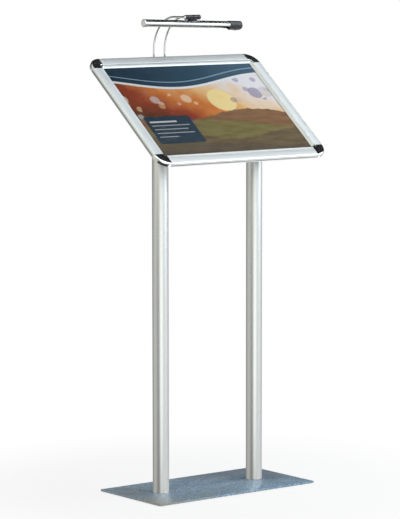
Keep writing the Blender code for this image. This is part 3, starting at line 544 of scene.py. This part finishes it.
def add_sweep(finish, navy, tone, across, up):
    """A navy field over the top with a painted sheen that lightens it towards the right, and a pale
    edge and a stripe that follow its curve.
    """
    sweep = up - 0.128 - (across * 9.0 - 1.1).maths("SINE") * 0.026
    # Painted sheen: the navy darker at the left and paler at the right
    painted_sheen = finish.mix((across + 0.3) / 0.6, darker(navy, 0.25),
                       mixed(navy, srgb(96, 132, 160), 0.38))
    tone = finish.mix(sweep.rise(-0.0100, -0.0092), tone, srgb(236, 240, 242))
    tone = finish.mix(sweep.rise(0.0, 0.0008), tone, painted_sheen)
    stripe = sweep.rise(0.020, 0.0208) * (1 - sweep.rise(0.0235, 0.0243))
    return finish.mix(stripe, tone, srgb(150, 178, 196))


def add_card(finish, navy, tone, across, up):
    """A navy card with round corners at the left, and five plain bars on it."""
    middle = Vector((-0.178, -0.085))
    left = middle.x - 0.072
    top = middle.y + 0.036
    beside = (abs(across - middle.x) - 0.078).most(0)
    beyond = (abs(up - middle.y) - 0.052).most(0)
    inside = 1 - (beside * beside + beyond * beyond).maths("SQRT").rise(0.0075, 0.0083)
    tone = finish.mix(inside * 0.94, tone, darker(navy, 0.12))
    for number, width in enumerate((0.10, 0.14, 0.125, 0.14, 0.07)):
        height, share = (0.0034, 0.85) if number == 0 else (0.0018, 0.55)
        along = abs(across - (left + width / 2)) - width / 2
        level = abs(up - (top - 0.0165 * number)) - height
        bar = 1 - along.most(level).rise(-0.0003, 0.0003)
        tone = finish.mix(bar * share, tone, srgb(222, 228, 230))
    return tone


def printed_paper(finish, navy):
    """Satin poster paper with a generic evening landscape."""
    colours = bpy.context.scene.stand_colours
    across, up, _ = finish.split(finish.local(BOARD))
    spot = finish.joined(across, up, 0.0)
    tone = evening_sky(finish, colours, spot, across, up)
    tone = add_hills(finish, colours, tone, spot, across, up)
    tone = add_sweep(finish, navy, tone, across, up)
    tone = add_card(finish, navy, tone, across, up)
    fibre = finish.noise(finish.place(), 700.0, 3.0)
    finish.shade(Base_Color=tone, Roughness=0.42 + 0.10 * fibre, Specular_IOR_Level=0.1,
                 Normal=finish.bump(fibre, 0.05, 0.00005))


# Its slot in the record, what makes it, its colour and its other values
FINISHES = {
    # The last value of the across rails is the share of painted light low on the board and painted
    # shade high on it
    "aluminium across": ("satin_aluminium", drawn_metal, "aluminium", BOARD, 0.40, 0.28),
    "aluminium up the slope": ("satin_aluminium", drawn_metal, "aluminium",
                               BOARD @ Matrix.Rotation(RIGHT_ANGLE, 4, "Z"), 0.40),
    "aluminium post": ("satin_aluminium", drawn_metal, "aluminium",
                       axes(Vector(), UP, BACK), 0.30),
    "chrome": ("chrome", plated, "chrome", (0, 0, 0), 0.05, 0.02, 0.05),
    "dark chrome": ("chrome", plated, "nickel", (0.035, 0.036, 0.038), 1.0, 0.08, 0.10),
    "hammered paint": ("hammered_paint", hammered_paint, "plate"),
    "zinc plate": ("zinc_steel", zinc_plate, "zinc"),
    "powder coat": ("head_casting", moulded, "casting", 0.42, 900.0, 0.0001),
    "rubber": ("rubber_underlay", moulded, "rubber", 0.70, 500.0, 0.0002),
    "black plastic": ("black_plastic", moulded, "plastic", 0.32, 1200.0, 0.00005),
    "foamed panel": ("white_panel", moulded, "panel", 0.45, 300.0, 0.00004),
    "reflector": ("reflector_metal", drawn_metal, "reflector", LAMP, 0.12),
    "lamp glass": ("lamp_glass", coated_glass, "lamp"),
    "clear sheet": ("clear_cover", clear_sheet, "cover"),
    "printed paper": ("poster_paper", printed_paper, "navy"),
}


def surface(kind):
    """The finish of that name, made the first time it is asked for."""
    if kind not in bpy.data.materials:
        _, make, tone, *values = FINISHES[kind]
        shade = getattr(bpy.context.scene.stand_colours, tone)
        make(Finish(bpy.data.materials.new(kind)), shade, *values)
    return bpy.data.materials[kind]


# Shaping

def local_box(node, place):
    """Lowest and highest corners of a CAD node in the axes of a placing matrix."""
    inverse = place.inverted()
    points = [inverse @ vertex.co for vertex in frame["nodes"][node].data.vertices]
    return [Vector([pick(point[i] for point in points) for i in range(3)]) for pick in (min, max)]


def arc(centre, radius, start, end, steps):
    """Points of an arc, both ends included."""
    angles = [start + (end - start) * i / steps for i in range(steps + 1)]
    return [(centre[0] + radius * math.cos(a), centre[1] + radius * math.sin(a)) for a in angles]


def whole(bm):
    return bm.faces[:] + bm.edges[:] + bm.verts[:]


def bevelled(bm, geometry, offset, segments, clamp=False, affect="EDGES"):
    bmesh.ops.bevel(bm, geom=geometry, offset=offset, segments=segments, profile=0.5,
                    affect=affect, clamp_overlap=clamp, material=-1)


def add_section(bm, points):
    """A face in local YZ from (y, z) points; a third number softens that corner."""
    verts = [bm.verts.new((0, point[0], point[1])) for point in points]
    bm.faces.new(verts)
    soft = {}
    for vert, point in zip(verts, points):
        for offset in point[2:]:
            soft.setdefault(offset, []).append(vert)
    for offset, corners in soft.items():
        bevelled(bm, corners, offset, 3, affect="VERTICES")


def pull(bm, faces, offset, from_solid=False):
    """Extrudes faces by an offset; on a solid the old ones go."""
    made = bmesh.ops.extrude_face_region(bm, geom=faces)["geom"]
    verts = [item for item in made if isinstance(item, bmesh.types.BMVert)]
    bmesh.ops.translate(bm, vec=offset, verts=verts)
    if from_solid:
        bmesh.ops.delete(bm, geom=faces, context="FACES_ONLY")


def drawn(points, reach):
    """A bar along local X with that section, centred on its middle."""
    bm = bmesh.new()
    add_section(bm, points)
    bmesh.ops.translate(bm, vec=(-reach / 2, 0, 0), verts=bm.verts)
    pull(bm, bm.faces[:], (reach, 0, 0))
    return bm


def turned(points, sides, closed=False):
    """A body turned about local Z from (radius, height) points."""
    bm = bmesh.new()
    verts = [bm.verts.new((radius, 0, height)) for radius, height in points]
    pairs = list(zip(verts, verts[1:]))
    if closed:
        pairs.append((verts[-1], verts[0]))
    edges = [bm.edges.new(pair) for pair in pairs]
    bmesh.ops.spin(bm, geom=verts + edges, cent=(0, 0, 0), axis=(0, 0, 1), angle=2 * math.pi,
                   steps=sides, use_merge=True)
    bmesh.ops.remove_doubles(bm, verts=bm.verts, dist=WELD)
    bmesh.ops.recalc_face_normals(bm, faces=bm.faces)
    return bm


def plug(radius, low, high, sides):
    """A plain solid cylinder about local Z."""
    return turned([(0, low), (radius, low), (radius, high), (0, high)], sides)


def block(size, edge):
    bm = bmesh.new()
    bmesh.ops.create_cube(bm, size=1)
    bmesh.ops.scale(bm, vec=size, verts=bm.verts)
    bevelled(bm, bm.edges[:], edge, 3)
    return bm


def soften(bm, width, segments=2):
    """Rounds every crisp edge."""
    crisp = [edge for edge in bm.edges if edge.is_manifold and edge.calc_face_angle() > SMOOTH]
    bevelled(bm, crisp, width, segments, clamp=True)


def pipe(outer, bore, half, sides, edge):
    """A tube about local Z, centred on its middle, with rounded ends."""
    bm = turned([(outer, half), (outer, -half), (bore, -half), (bore, half)], sides, closed=True)
    soften(bm, edge)
    return bm


def cad_copy(node):
    """A welded copy of a node's mesh, its flat areas merged."""
    bm = bmesh.new()
    bm.from_mesh(frame["nodes"][node].data)
    bmesh.ops.remove_doubles(bm, verts=bm.verts, dist=WELD)
    bmesh.ops.dissolve_limit(bm, angle_limit=math.radians(1), verts=bm.verts, edges=bm.edges)
    return bm


def ribs(bm, least, most):
    """Sinks each face between two distances from local Z a little."""
    faces = [face for face in bm.faces if least < face.calc_center_median().xy.length < most]
    bmesh.ops.inset_individual(bm, faces=faces, thickness=0.0001, depth=-0.0002)


def sink_socket(bm, across, depth):
    """Closes the open rim of a head that faces local -Z with a hexagon socket."""
    rim = [edge for edge in bm.edges if edge.is_boundary]
    for drop in (0, depth):
        made = bmesh.ops.extrude_edge_only(bm, edges=rim)["geom"]
        rim = [item for item in made if isinstance(item, bmesh.types.BMEdge) and item.is_boundary]
        for vert in {vert for edge in rim for vert in edge.verts}:
            angle = math.atan2(vert.co.y, vert.co.x)
            reach = across / 2 / math.cos(angle % (math.pi / 3) - math.pi / 6)
            vert.co = (reach * math.cos(angle), reach * math.sin(angle), vert.co.z + drop)
    bmesh.ops.edgeloop_fill(bm, edges=rim)
    bmesh.ops.recalc_face_normals(bm, faces=bm.faces)


def socket_screw(diameter, reach, head, thick):
    """A button-head screw along local +Z, its origin under the head."""
    radius = diameter / 2
    shoulder = head / 2
    across = head * 0.42
    bm = turned([(0, reach), (radius * 0.75, reach), (radius, reach - radius * 0.35), (radius, 0),
                 (shoulder * 0.96, 0), (shoulder, -thick * 0.10),
                 (shoulder * 0.98, -thick * 0.45), (shoulder * 0.88, -thick * 0.78),
                 (shoulder * 0.70, -thick), (across * 0.60, -thick)], SCREW_SIDES)
    sink_socket(bm, across, thick * 0.55)
    return bm


def linked(name, data):
    obj = bpy.data.objects.new(name, data)
    bpy.context.scene.collection.objects.link(obj)
    return obj


def modelled(name, bm, finish):
    """A new object in the scene with that mesh and material."""
    mesh = bpy.data.meshes.new(name)
    bm.to_mesh(mesh)
    bm.free()
    mesh.materials.append(finish)
    return linked(name, mesh)


def settle(bm, place, name, kind, node):
    """Makes a piece that stands for a CAD node and rides with it."""
    bmesh.ops.transform(bm, matrix=place, verts=bm.verts)
    bmesh.ops.remove_doubles(bm, verts=bm.verts, dist=WELD)
    bmesh.ops.recalc_face_normals(bm, faces=bm.faces)
    obj = modelled(name, bm, surface(kind))
    obj.data.shade_smooth()
    obj.data.set_sharp_from_angle(angle=SMOOTH)
    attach(obj, body_of(frame["nodes"][node])[0])
    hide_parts(node)
    return obj


def rounded(node, name, kind, edge, segments=2):
    """A piece in a CAD node's own shape, with its crisp edges rounded."""
    bm = cad_copy(node)
    soften(bm, edge, segments)
    return settle(bm, HERE, name, kind, node)


def dress(*nodes):
    """Gives CAD nodes that stay in sight their zinc plate."""
    for node in nodes:
        for slot in frame["nodes"][node].material_slots:
            slot.material = surface("zinc plate")


def place_screw(name, node, place=BOARD, kind="zinc plate"):
    """A socket screw where its CAD node is, its head to -Z; {} in the name is the node's."""
    diameter, thick = SCREWS[node.split("_")[0]]
    low, high = local_box(node, place)
    middle = (low + high) / 2
    seat = low.z + thick
    screw = socket_screw(diameter, high.z - seat, high.x - low.x, thick)
    settle(screw, place @ at((middle.x, middle.y, seat)), name.format(node), kind, node)


# Pieces

class STAND_OT_base(Operator):
    """Base plate in hammered paint on a rubber underlay, with the posts' screws and plugs"""
    bl_idname = "stand.base"
    bl_label = "Base Plate"

    def execute(self, context):
        plate = rounded("base_plate", "painted_plate", "hammered paint", PLATE_EDGE, 3)
        mat = settle(block(node_size("base_underlay"), MAT_EDGE),
                     at(node_middle("base_underlay")), "rubber_mat", "rubber", "base_underlay")
        for piece in (plate, mat):
            piece.visible_glossy = False
        for hand in HANDS:
            dress("base_screw_" + hand, "post_foot_" + hand)
        return {"FINISHED"}


class STAND_OT_posts(Operator):
    """Two round post tubes with their cast heads and the screws through the flanges"""
    bl_idname = "stand.posts"
    bl_label = "Posts"

    def execute(self, context):
        wall = context.scene.frame_sizes.post_wall
        for hand in HANDS:
            node = "post_" + hand
            half = node_size(node) / 2
            post = pipe(half.x, half.x - wall, half.z, POST_SIDES, TUBE_EDGE)
            settle(post, at(node_middle(node)), "tube_" + hand, "aluminium post", node)
            rounded("post_head_" + hand, "cast_head_" + hand, "powder coat", CASTING_EDGE)
            for end in ENDS:
                place_screw("flange_{}", f"head_screw_{hand}_{end}")
        return {"FINISHED"}


class STAND_OT_carrier(Operator):
    """Two flat bars behind the frame with their screws"""
    bl_idname = "stand.carrier"
    bl_label = "Carrier Bars"

    def execute(self, context):
        for hand in HANDS:
            rounded("mounting_rail_" + hand, "flat_bar_" + hand, "zinc plate", BAR_EDGE)
            for end in ENDS:
                place_screw("bar_{}", f"rail_screw_{hand}_{end}")
        return {"FINISHED"}


class STAND_OT_profiles(Operator):
    """The four fixed profiles with their corner keys and snap springs"""
    bl_idname = "stand.profiles"
    bl_label = "Fixed Profiles"

    def execute(self, context):
        for side in SIDES:
            rounded("frame_profile_" + side, "channel_" + side, along_finish(side), SHEET_EDGE)
            dress("snap_spring_" + side)
        for corner in CORNERS:
            dress("corner_key_" + corner)
        return {"FINISHED"}


def face_line(sizes, edge, top, wall):
    """The face and bent lip that rails and corner caps share, out and back in."""
    face = sizes.face_end - edge
    return ([(face + run, top - drop, soft) for run, drop, soft in FACE_LINE]
            + [(face + STEP_RUN - wall * 0.7, top - wall - STEP_DROP * 0.8),
               (face - wall * 0.6, top - wall)])


def rail_section(sizes):
    """A hinged rail's section from its hinge axis: Y inward, Z over the face."""
    under = HINGE_IN - sizes.rail_shell
    end = RIGHT_ANGLE + sizes.hinge_wrap
    leg = LEG_IN - HINGE_IN
    inner = leg + LEG_WALL
    tip = HINGE_IN - LEG_DROP
    return (arc((0, 0), HINGE_IN, end, RIGHT_ANGLE, ROLL_STEPS)
            + face_line(sizes, HINGE_IN, HINGE_IN, sizes.rail_shell)
            + [(inner, under), (inner, tip, 0.0003), (leg, tip, 0.0003), (leg, under)]
            + arc((0, 0), under, RIGHT_ANGLE, end, ROLL_STEPS))


class STAND_OT_snap_rails(Operator):
    """The four hinged rails that snap down over the sheets' edges"""
    bl_idname = "stand.snap_rails"
    bl_label = "Snap Rails"

    def execute(self, context):
        section = rail_section(context.scene.frame_sizes)
        for side, spot in SIDES.items():
            run = BOARD_LENGTH if side in HANDS else BOARD_WIDTH
            settle(drawn(section, run - 2 * CAP_REACH),
                   edge_place(*spot) @ at((0, HINGE_IN, -HINGE_IN)),
                   "cover_rail_" + side, along_finish(side), "snap_rail_" + side)
        return {"FINISHED"}


def cap_section(sizes):
    """A corner cap's section: the rail's outside carried down to the back."""
    axis = (HINGE_IN, -HINGE_IN)
    shell = sizes.cap_shell
    return ([(0, -sizes.board_thick)]
            + arc(axis, HINGE_IN, math.pi, RIGHT_ANGLE, 12)
            + face_line(sizes, 0, 0, shell)
            + arc(axis, HINGE_IN - shell, RIGHT_ANGLE, math.pi, 10)
            + [(shell, -sizes.board_thick)])


class STAND_OT_corner_caps(Operator):
    """Rounded corner caps, each with the boss that stands on its key"""
    bl_idname = "stand.corner_caps"
    bl_label = "Corner Caps"

    def execute(self, context):
        sizes = context.scene.frame_sizes
        size = sizes.cap_size
        for corner, spot in CORNERS.items():
            node = "corner_cap_" + corner
            place = edge_place(*spot)
            cap = bmesh.new()
            add_section(cap, cap_section(sizes))
            bmesh.ops.rotate(cap, cent=(0, 0, 0), matrix=Matrix.Rotation(-RIGHT_ANGLE, 3, "Z"),
                             verts=cap.verts)
            bmesh.ops.translate(cap, vec=(0, size, 0), verts=cap.verts)
            bmesh.ops.spin(cap, geom=whole(cap), cent=(size, size, 0), axis=(0, 0, 1),
                           angle=RIGHT_ANGLE, steps=BEND_STEPS)
            settle(cap, place, "rounded_cap_" + corner, "chrome", node)
            settle(plug(BOSS / 2, -sizes.cap_shell, -BOSS_DROP, ROD_SIDES),
                   place @ at((BOSS_IN, BOSS_IN, 0)), "cap_boss_" + corner, "chrome", node)
        return {"FINISHED"}


class STAND_OT_sheets(Operator):
    """Back panel, printed poster and clear cover"""
    bl_idname = "stand.sheets"
    bl_label = "Sheets"

    def execute(self, context):
        for node, name, kind in (("back_panel", "foam_panel", "foamed panel"),
                                 ("poster_sheet", "printed_poster", "printed paper"),
                                 ("cover_sheet", "clear_cover_sheet", "clear sheet")):
            low, high = local_box(node, BOARD)
            sheet = block(high - low, min(SHEET_EDGE, (high.z - low.z) / 3))
            settle(sheet, BOARD @ at((low + high) / 2), name, kind, node)
        return {"FINISHED"}


def make_gland():
    """The cable gland's hexagon nut and its ribbed dome."""
    size = node_size("cable_gland")
    radius = size.x / 2
    top = -GLAND_NUT
    end = -size.z
    place = at(node_middle("cable_gland") + UP * size.z / 2)
    nut = bmesh.new()
    bmesh.ops.create_circle(nut, cap_ends=True, segments=6, radius=radius)
    pull(nut, nut.faces[:], (0, 0, top))
    soften(nut, BAR_EDGE)
    settle(nut, place, "gland_nut", "black plastic", "cable_gland")
    dome = turned([(radius * 0.82, top), (radius * 0.82, top * 1.4), (radius * 0.72, end * 0.72),
                   (radius * 0.56, end * 0.98), (radius * 0.50, end), (GLAND_BORE, end),
                   (GLAND_BORE, top)], SCREW_SIDES, closed=True)
    ribs(dome, radius * 0.6, radius * 0.81)
    settle(dome, place, "gland_dome", "black plastic", "cable_gland")


class STAND_OT_lamp_mount(Operator):
    """Bent bracket behind the board, the clamp on the rods and the cable gland"""
    bl_idname = "stand.lamp_mount"
    bl_label = "Lamp Mount"

    def execute(self, context):
        bracket = cad_copy("lamp_bracket")
        longest = node_size("lamp_bracket").x
        bends = [edge for edge in bracket.edges
                 if edge.calc_length() > longest * 0.9 and edge.calc_face_angle(0) < 1.2]
        bevelled(bracket, bends, BRACKET_BEND, 6, clamp=True)
        soften(bracket, BAR_EDGE)
        settle(bracket, HERE, "bent_bracket", "zinc plate", "lamp_bracket")
        rounded("rod_clamp", "clamp_block", "black plastic", BAR_EDGE)
        for hand in HANDS:
            place_screw("back_{}", "bracket_screw_" + hand)
        place_screw("cap_clamp_bolt", "clamp_bolt", axes(Vector(), ACROSS, UP))
        make_gland()
        return {"FINISHED"}


def bent_rod(sizes, x, low, high):
    """A rod up behind the board and forward into its barrel."""
    radius = sizes.rod / 2
    back = high.y - radius
    bend = sizes.rod_bend
    level = SWIVEL.z - bend
    inside = SWIVEL.y + (sizes.pin + sizes.barrel) / 4
    rod = bmesh.new()
    bmesh.ops.create_circle(rod, cap_ends=True, segments=ROD_SIDES, radius=radius)
    bmesh.ops.translate(rod, vec=(x, back, level), verts=rod.verts)
    foot = rod.faces[:]
    spun = bmesh.ops.spin(rod, geom=whole(rod), cent=(x, back - bend, level), axis=(1, 0, 0),
                          angle=RIGHT_ANGLE, steps=BEND_STEPS)
    front = [item for item in spun["geom_last"] if isinstance(item, bmesh.types.BMFace)]
    pull(rod, foot, (0, 0, low.z - level), True)
    pull(rod, front, (0, inside - back + bend, 0), True)
    return rod


class STAND_OT_lamp_arms(Operator):
    """Two bent rods with the barrels of the swivel at their ends"""
    bl_idname = "stand.lamp_arms"
    bl_label = "Lamp Arms"

    def execute(self, context):
        sizes = context.scene.lamp_sizes
        for hand, sign in HANDS.items():
            node = "lamp_arm_" + hand
            rod = bent_rod(sizes, sign * sizes.rod_spacing / 2, *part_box(node))
            settle(rod, HERE, "arm_rod_" + hand, "chrome", node)
            start = SADDLE_HALF + FIT
            half = (sizes.barrel_out - start) / 2
            barrel = pipe(sizes.barrel / 2, sizes.pin / 2 + FIT, half, LAMP_SIDES, TUBE_EDGE)
            place = at((sign * (start + half), SWIVEL.y, SWIVEL.z)) @ ALONG_LAMP
            settle(barrel, place, "arm_barrel_" + hand, "dark chrome", node)
        return {"FINISHED"}


class STAND_OT_swivel(Operator):
    """The saddle on the lamp and the pin and knurled nut that hold it between the arms"""
    bl_idname = "stand.swivel"
    bl_label = "Swivel"

    def execute(self, context):
        sizes = context.scene.lamp_sizes
        rounded("swivel_saddle", "lamp_saddle", "dark chrome", TUBE_EDGE)
        place = at(SWIVEL) @ ALONG_LAMP
        place_screw("swivel_bolt", "swivel_pin", place, "chrome")
        radius = sizes.pin_head / 2
        bore = sizes.pin / 2 + FIT
        nut = turned([(radius * 0.86, NUT_THICK), (radius, NUT_THICK * 0.8),
                      (radius, NUT_THICK * 0.2), (radius * 0.92, 0), (bore, 0),
                      (bore, NUT_THICK)], NUT_SIDES, closed=True)
        ribs(nut, radius * 0.98, radius)
        settle(nut, place @ at((0, 0, sizes.barrel_out + FIT)), "knurled_nut", "chrome",
               "swivel_nut")
        return {"FINISHED"}


def open_ring(radius, wall, half_slot):
    """The section of a trough with its slot at the bottom."""
    start = half_slot - RIGHT_ANGLE
    end = 3 * RIGHT_ANGLE - half_slot
    return (arc((0, 0), radius, start, end, LAMP_SIDES)
            + arc((0, 0), radius - wall, end, start, LAMP_SIDES))


class STAND_OT_lamp_head(Operator):
    """The lamp's shade, reflector, end caps and tube"""
    bl_idname = "stand.lamp_head"
    bl_label = "Lamp Head"

    def execute(self, context):
        sizes = context.scene.lamp_sizes
        face = sizes.shade_length / 2 + FIT
        outer = sizes.shade / 2
        inner = outer - sizes.shade_wall - FIT
        shade = drawn(open_ring(outer, sizes.shade_wall, sizes.slot_half), sizes.shade_length)
        settle(shade, LAMP, "shade_trough", "chrome", "lamp_shade")
        reflector = drawn(open_ring(inner, REFLECTOR, sizes.reflector_half),
                          sizes.shade_length - 2 * END_PLUG)
        settle(reflector, LAMP, "polished_reflector", "reflector", "lamp_reflector")
        tube = sizes.tube / 2
        cup = tube + FIT
        socket = cup + SOCKET_WALL
        inward = -END_PLUG
        mouth = inward - SOCKET
        floor = mouth + SOCKET_DEPTH
        sleeve = outer + FIT + SLEEVE_WALL
        for hand, kind, end in (("left", "chrome", sizes.end / 2),
                                ("right", "black plastic", sleeve)):
            rim = arc((end - END_EDGE, END_THICK - END_EDGE), END_EDGE, RIGHT_ANGLE, 0, 10)
            cap = turned([(0, END_THICK)] + rim
                         + [(end, 0), (inner, 0), (inner, inward), (socket, inward), (socket, mouth),
                            (cup, mouth), (cup, floor), (0, floor)], LAMP_SIDES)
            place = LAMP @ at((HANDS[hand] * face, 0, 0)) @ OUTWARDS[hand]
            settle(cap, place, "end_cap_" + hand, kind, "lamp_end_" + hand)
        reach = face + floor - FIT
        bare = reach - FERRULE
        tip = tube * 0.2
        settle(plug(tube - FIT, bare, -bare, LAMP_SIDES), LAMP @ ALONG_LAMP, "tube_glass",
               "lamp glass", "lamp_tube")
        for hand in HANDS:
            ferrule = turned([(0, reach), (tube - tip, reach), (tube, reach - tip), (tube, bare),
                              (0, bare)], LAMP_SIDES)
            settle(ferrule, LAMP @ OUTWARDS[hand], "tube_ferrule_" + hand, "zinc plate",
                   "lamp_tube")
        return {"FINISHED"}


def sink_mouth(housing, offset):
    """The rocker's recess in the bottom of the housing."""
    middle = Vector((offset, 0.0))
    for i, normal in enumerate((ACROSS, BACK)):
        for way in (-1, 1):
            bmesh.ops.bisect_plane(housing, geom=whole(housing), plane_no=normal,
                                   plane_co=normal * (middle[i] + way * RECESS_HALF[i]))
    mouth = []
    for face in housing.faces:
        x, y = face.calc_center_median().xy - middle
        if face.normal.z < -0.99 and abs(x) < RECESS_HALF.x and abs(y) < RECESS_HALF.y:
            mouth.append(face)
    pull(housing, mouth, (0, 0, RECESS_DEPTH), True)


class STAND_OT_switch(Operator):
    """The switch housing under the right end of the head, and its rocker"""
    bl_idname = "stand.switch"
    bl_label = "Switch"

    def execute(self, context):
        sizes = context.scene.lamp_sizes
        reach = sizes.switch_length + HOUSING_PLAY
        low = sizes.shade_length / 2 + FIT - sizes.switch_length
        outer = sizes.shade / 2 + FIT + SLEEVE_WALL
        sleeve = drawn(open_ring(outer, SLEEVE_WALL, SLEEVE_SLOT), reach)
        settle(sleeve, LAMP @ at((low + reach / 2, 0, 0)), "switch_sleeve", "black plastic",
               "lamp_end_right")
        height = SWITCH_BOTTOM - SWITCH_TOP
        size = Vector((sizes.switch_length - HOUSING_PLAY, sizes.switch_width, height))
        middle = Vector((low + sizes.switch_length / 2, 0, -SWITCH_TOP - height / 2))
        offset = (LAMP.inverted() @ PIVOTS["switch_rock"]).x - middle.x
        housing = block(size, SWITCH_EDGE)
        sink_mouth(housing, offset)
        settle(housing, LAMP @ at(middle), "switch_box", "black plastic", "lamp_end_right")
        rounded("switch_rocker", "rocker_key", "black plastic", BAR_EDGE, 3)
        return {"FINISHED"}


# Stage

CAMERA_SPOT = (-5.3724, -6.8569, 1.70145)
CAMERA_TURNS = (("Z", -37.921), ("X", 83.498), ("Z", -0.055))
CAMERA_LENS = 198.71
FLOOR_RADIUS = 2.0
AMBIENT = (0.52, 0.52, 0.52)

PANEL_SPOT = (1.45, -0.91, 2.5)
PANEL_WIDTH = 2.3
PANEL_DEPTH = 1.48
PANEL_GLOW = 2.8
PANEL_TINT = (0.93, 1.0, 1.05)
MIRRORED_GLOW = 3.9

# What shiny pieces mirror: walls by bearing, from the left round the front to the left again
WALL_PEAK = 1.5
WALLS = ((0.0, (0.22, 0.22, 0.22)), (0.100, (0.23, 0.23, 0.23)), (0.132, (0.98, 1.0, 0.94)),
         (0.216, (0.98, 1.0, 0.94)), (0.244, (0.60, 0.62, 0.62)), (0.290, (0.49, 0.50, 0.50)),
         (0.340, (0.66, 0.68, 0.68)), (0.400, (0.66, 0.68, 0.68)), (0.455, (0.43, 0.44, 0.45)),
         (0.540, (0.43, 0.44, 0.45)), (0.640, (0.36, 0.36, 0.36)), (0.700, (0.20, 0.20, 0.20)),
         (0.780, (0.20, 0.20, 0.20)), (0.850, (0.42, 0.42, 0.39)))
SHADOW = (0.02, 0.02, 0.02)
CEILING = (1.00, 1.20, 1.34)
CEILING_LEFT = (0.95, 0.95, 0.85)
CROWN = (0.72, 0.75, 0.66)
GROUND = (0.05, 0.05, 0.05)
GROUND_RIGHT = (1.3, 1.3, 1.28)


def studio_reflection(finish, direction):
    """A ring of walls, a ceiling with its panel, the ground and a narrow dark strip."""
    x, y, z = finish.split(direction)
    panel = x.rise(0.16, 0.24) * x.rise(0.92, 0.84) * y.rise(-0.82, -0.76) * y.rise(-0.02, -0.08)
    ceiling = CEILING
    for share, tone in ((y.rise(-0.24, -0.14), SHADOW),
                        ((x * -1).rise(0.0, 0.25), CEILING_LEFT),
                        (y.rise(0.50, 0.62), SHADOW),
                        (z.rise(0.90, 0.97), CROWN),
                        (panel, [part * MIRRORED_GLOW for part in PANEL_TINT])):
        ceiling = finish.mix(share, ceiling, tone)
    walls = finish.ramp(y.maths("ARCTAN2", x) / (2 * math.pi) + 0.5, WALLS)
    walls = finish.stretched(walls, WALL_PEAK, WALL_PEAK, WALL_PEAK)
    room = finish.mix(z.rise(0.12, 0.22), walls, ceiling)
    ground = finish.mix(x.rise(0.15, 0.30), GROUND, GROUND_RIGHT)
    room = finish.mix((z * -1).rise(0.52, 0.60), room, ground)
    strip = x.rise(0.545, 0.57) * x.rise(0.69, 0.665) * (y * -1).rise(-0.10, 0.0)
    strip = strip * (1 - z.rise(-0.42, -0.36) * z.rise(0.42, 0.36))
    return finish.mix(strip, room, SHADOW)


def make_floor():
    finish = Finish(bpy.data.materials.new("studio floor"))
    seen = finish.ray("Camera").most(finish.ray("Glossy")).most(finish.ray("Transmission"))
    reach = finish.vector("LENGTH", finish.place(), result=1)
    lift = 0.80 + 0.20 * reach.rise(0.4, 1.1)
    grain = finish.noise(finish.place(), 300.0)
    tone = finish.mix(grain, (0.93, 0.93, 0.93), (0.96, 0.96, 0.96))
    matt = finish.node("BsdfDiffuse", tone)
    glow = finish.node("Emission", (1, 1, 1))
    blend = finish.node("MixShader", seen * lift, matt, glow)
    finish.plug(finish.tree.nodes["Material Output"].inputs["Surface"], blend)
    bm = bmesh.new()
    bmesh.ops.create_circle(bm, cap_ends=True, segments=128, radius=FLOOR_RADIUS)
    floor = modelled("studio_floor", bm, finish.owner)
    floor.visible_glossy = False


def make_world(scene):
    scene.world = bpy.data.worlds.new("studio")
    finish = Finish(scene.world)
    direction = finish.node("TexCoord", result="Generated")
    tone = finish.mix(finish.ray("Glossy"), AMBIENT, studio_reflection(finish, direction))
    tone = finish.mix(finish.ray("Camera").most(finish.ray("Transmission")), tone, (1, 1, 1))
    finish.plug(finish.tree.nodes["Background"].inputs["Color"], tone)


def make_panel():
    light = bpy.data.lights.new("ceiling_panel", "AREA")
    light.shape = "RECTANGLE"
    light.size = PANEL_WIDTH
    light.size_y = PANEL_DEPTH
    light.energy = PANEL_GLOW * math.pi * PANEL_WIDTH * PANEL_DEPTH
    light.color = PANEL_TINT
    panel = linked("ceiling_panel", light)
    panel.location = PANEL_SPOT
    panel.visible_camera = False
    panel.visible_glossy = False


def make_camera(scene):
    data = bpy.data.cameras.new("camera")
    data.lens = CAMERA_LENS
    camera = linked("camera", data)
    place = at(CAMERA_SPOT)
    for axis, degrees in CAMERA_TURNS:
        place = place @ Matrix.Rotation(math.radians(degrees), 4, axis)
    camera.matrix_world = place
    scene.camera = camera


class STAND_OT_stage(Operator):
    """Pale floor, soft studio light and the camera"""
    bl_idname = "stand.stage"
    bl_label = "Stage"

    def execute(self, context):
        make_floor()
        make_world(context.scene)
        make_panel()
        make_camera(context.scene)
        context.scene.view_settings.view_transform = "Standard"
        return {"FINISHED"}


STEPS = (STAND_OT_base, STAND_OT_posts, STAND_OT_carrier, STAND_OT_profiles, STAND_OT_snap_rails,
         STAND_OT_corner_caps, STAND_OT_sheets, STAND_OT_lamp_mount, STAND_OT_lamp_arms,
         STAND_OT_swivel, STAND_OT_lamp_head, STAND_OT_switch, STAND_OT_stage)
GROUPS = {"frame_sizes": FrameSizes, "lamp_sizes": LampSizes, "stand_colours": FinishColours}


class STAND_PT_panel(bpy.types.Panel):
    """Sizes, colours and the steps that make the stand"""
    bl_label = "Board Stand"
    bl_idname = "STAND_PT_panel"
    bl_space_type = "VIEW_3D"
    bl_region_type = "UI"
    bl_category = "Board Stand"

    def draw(self, context):
        for name, group in GROUPS.items():
            column = self.layout.column(align=True)
            for key in group.__annotations__:
                column.prop(getattr(context.scene, name), key)
        for step in STEPS:
            self.layout.operator(step.bl_idname)


CLASSES = (*GROUPS.values(), *STEPS, STAND_PT_panel)


def register():
    for item in CLASSES:
        bpy.utils.register_class(item)
    for key, group in GROUPS.items():
        setattr(bpy.types.Scene, key, PointerProperty(type=group))


def unregister():
    for key in GROUPS:
        delattr(bpy.types.Scene, key)
    for item in reversed(CLASSES):
        bpy.utils.unregister_class(item)


def main():
    register()
    for step in STEPS:
        getattr(bpy.ops.stand, step.bl_idname.split(".")[1])()


if __name__ == "__main__":
    main()
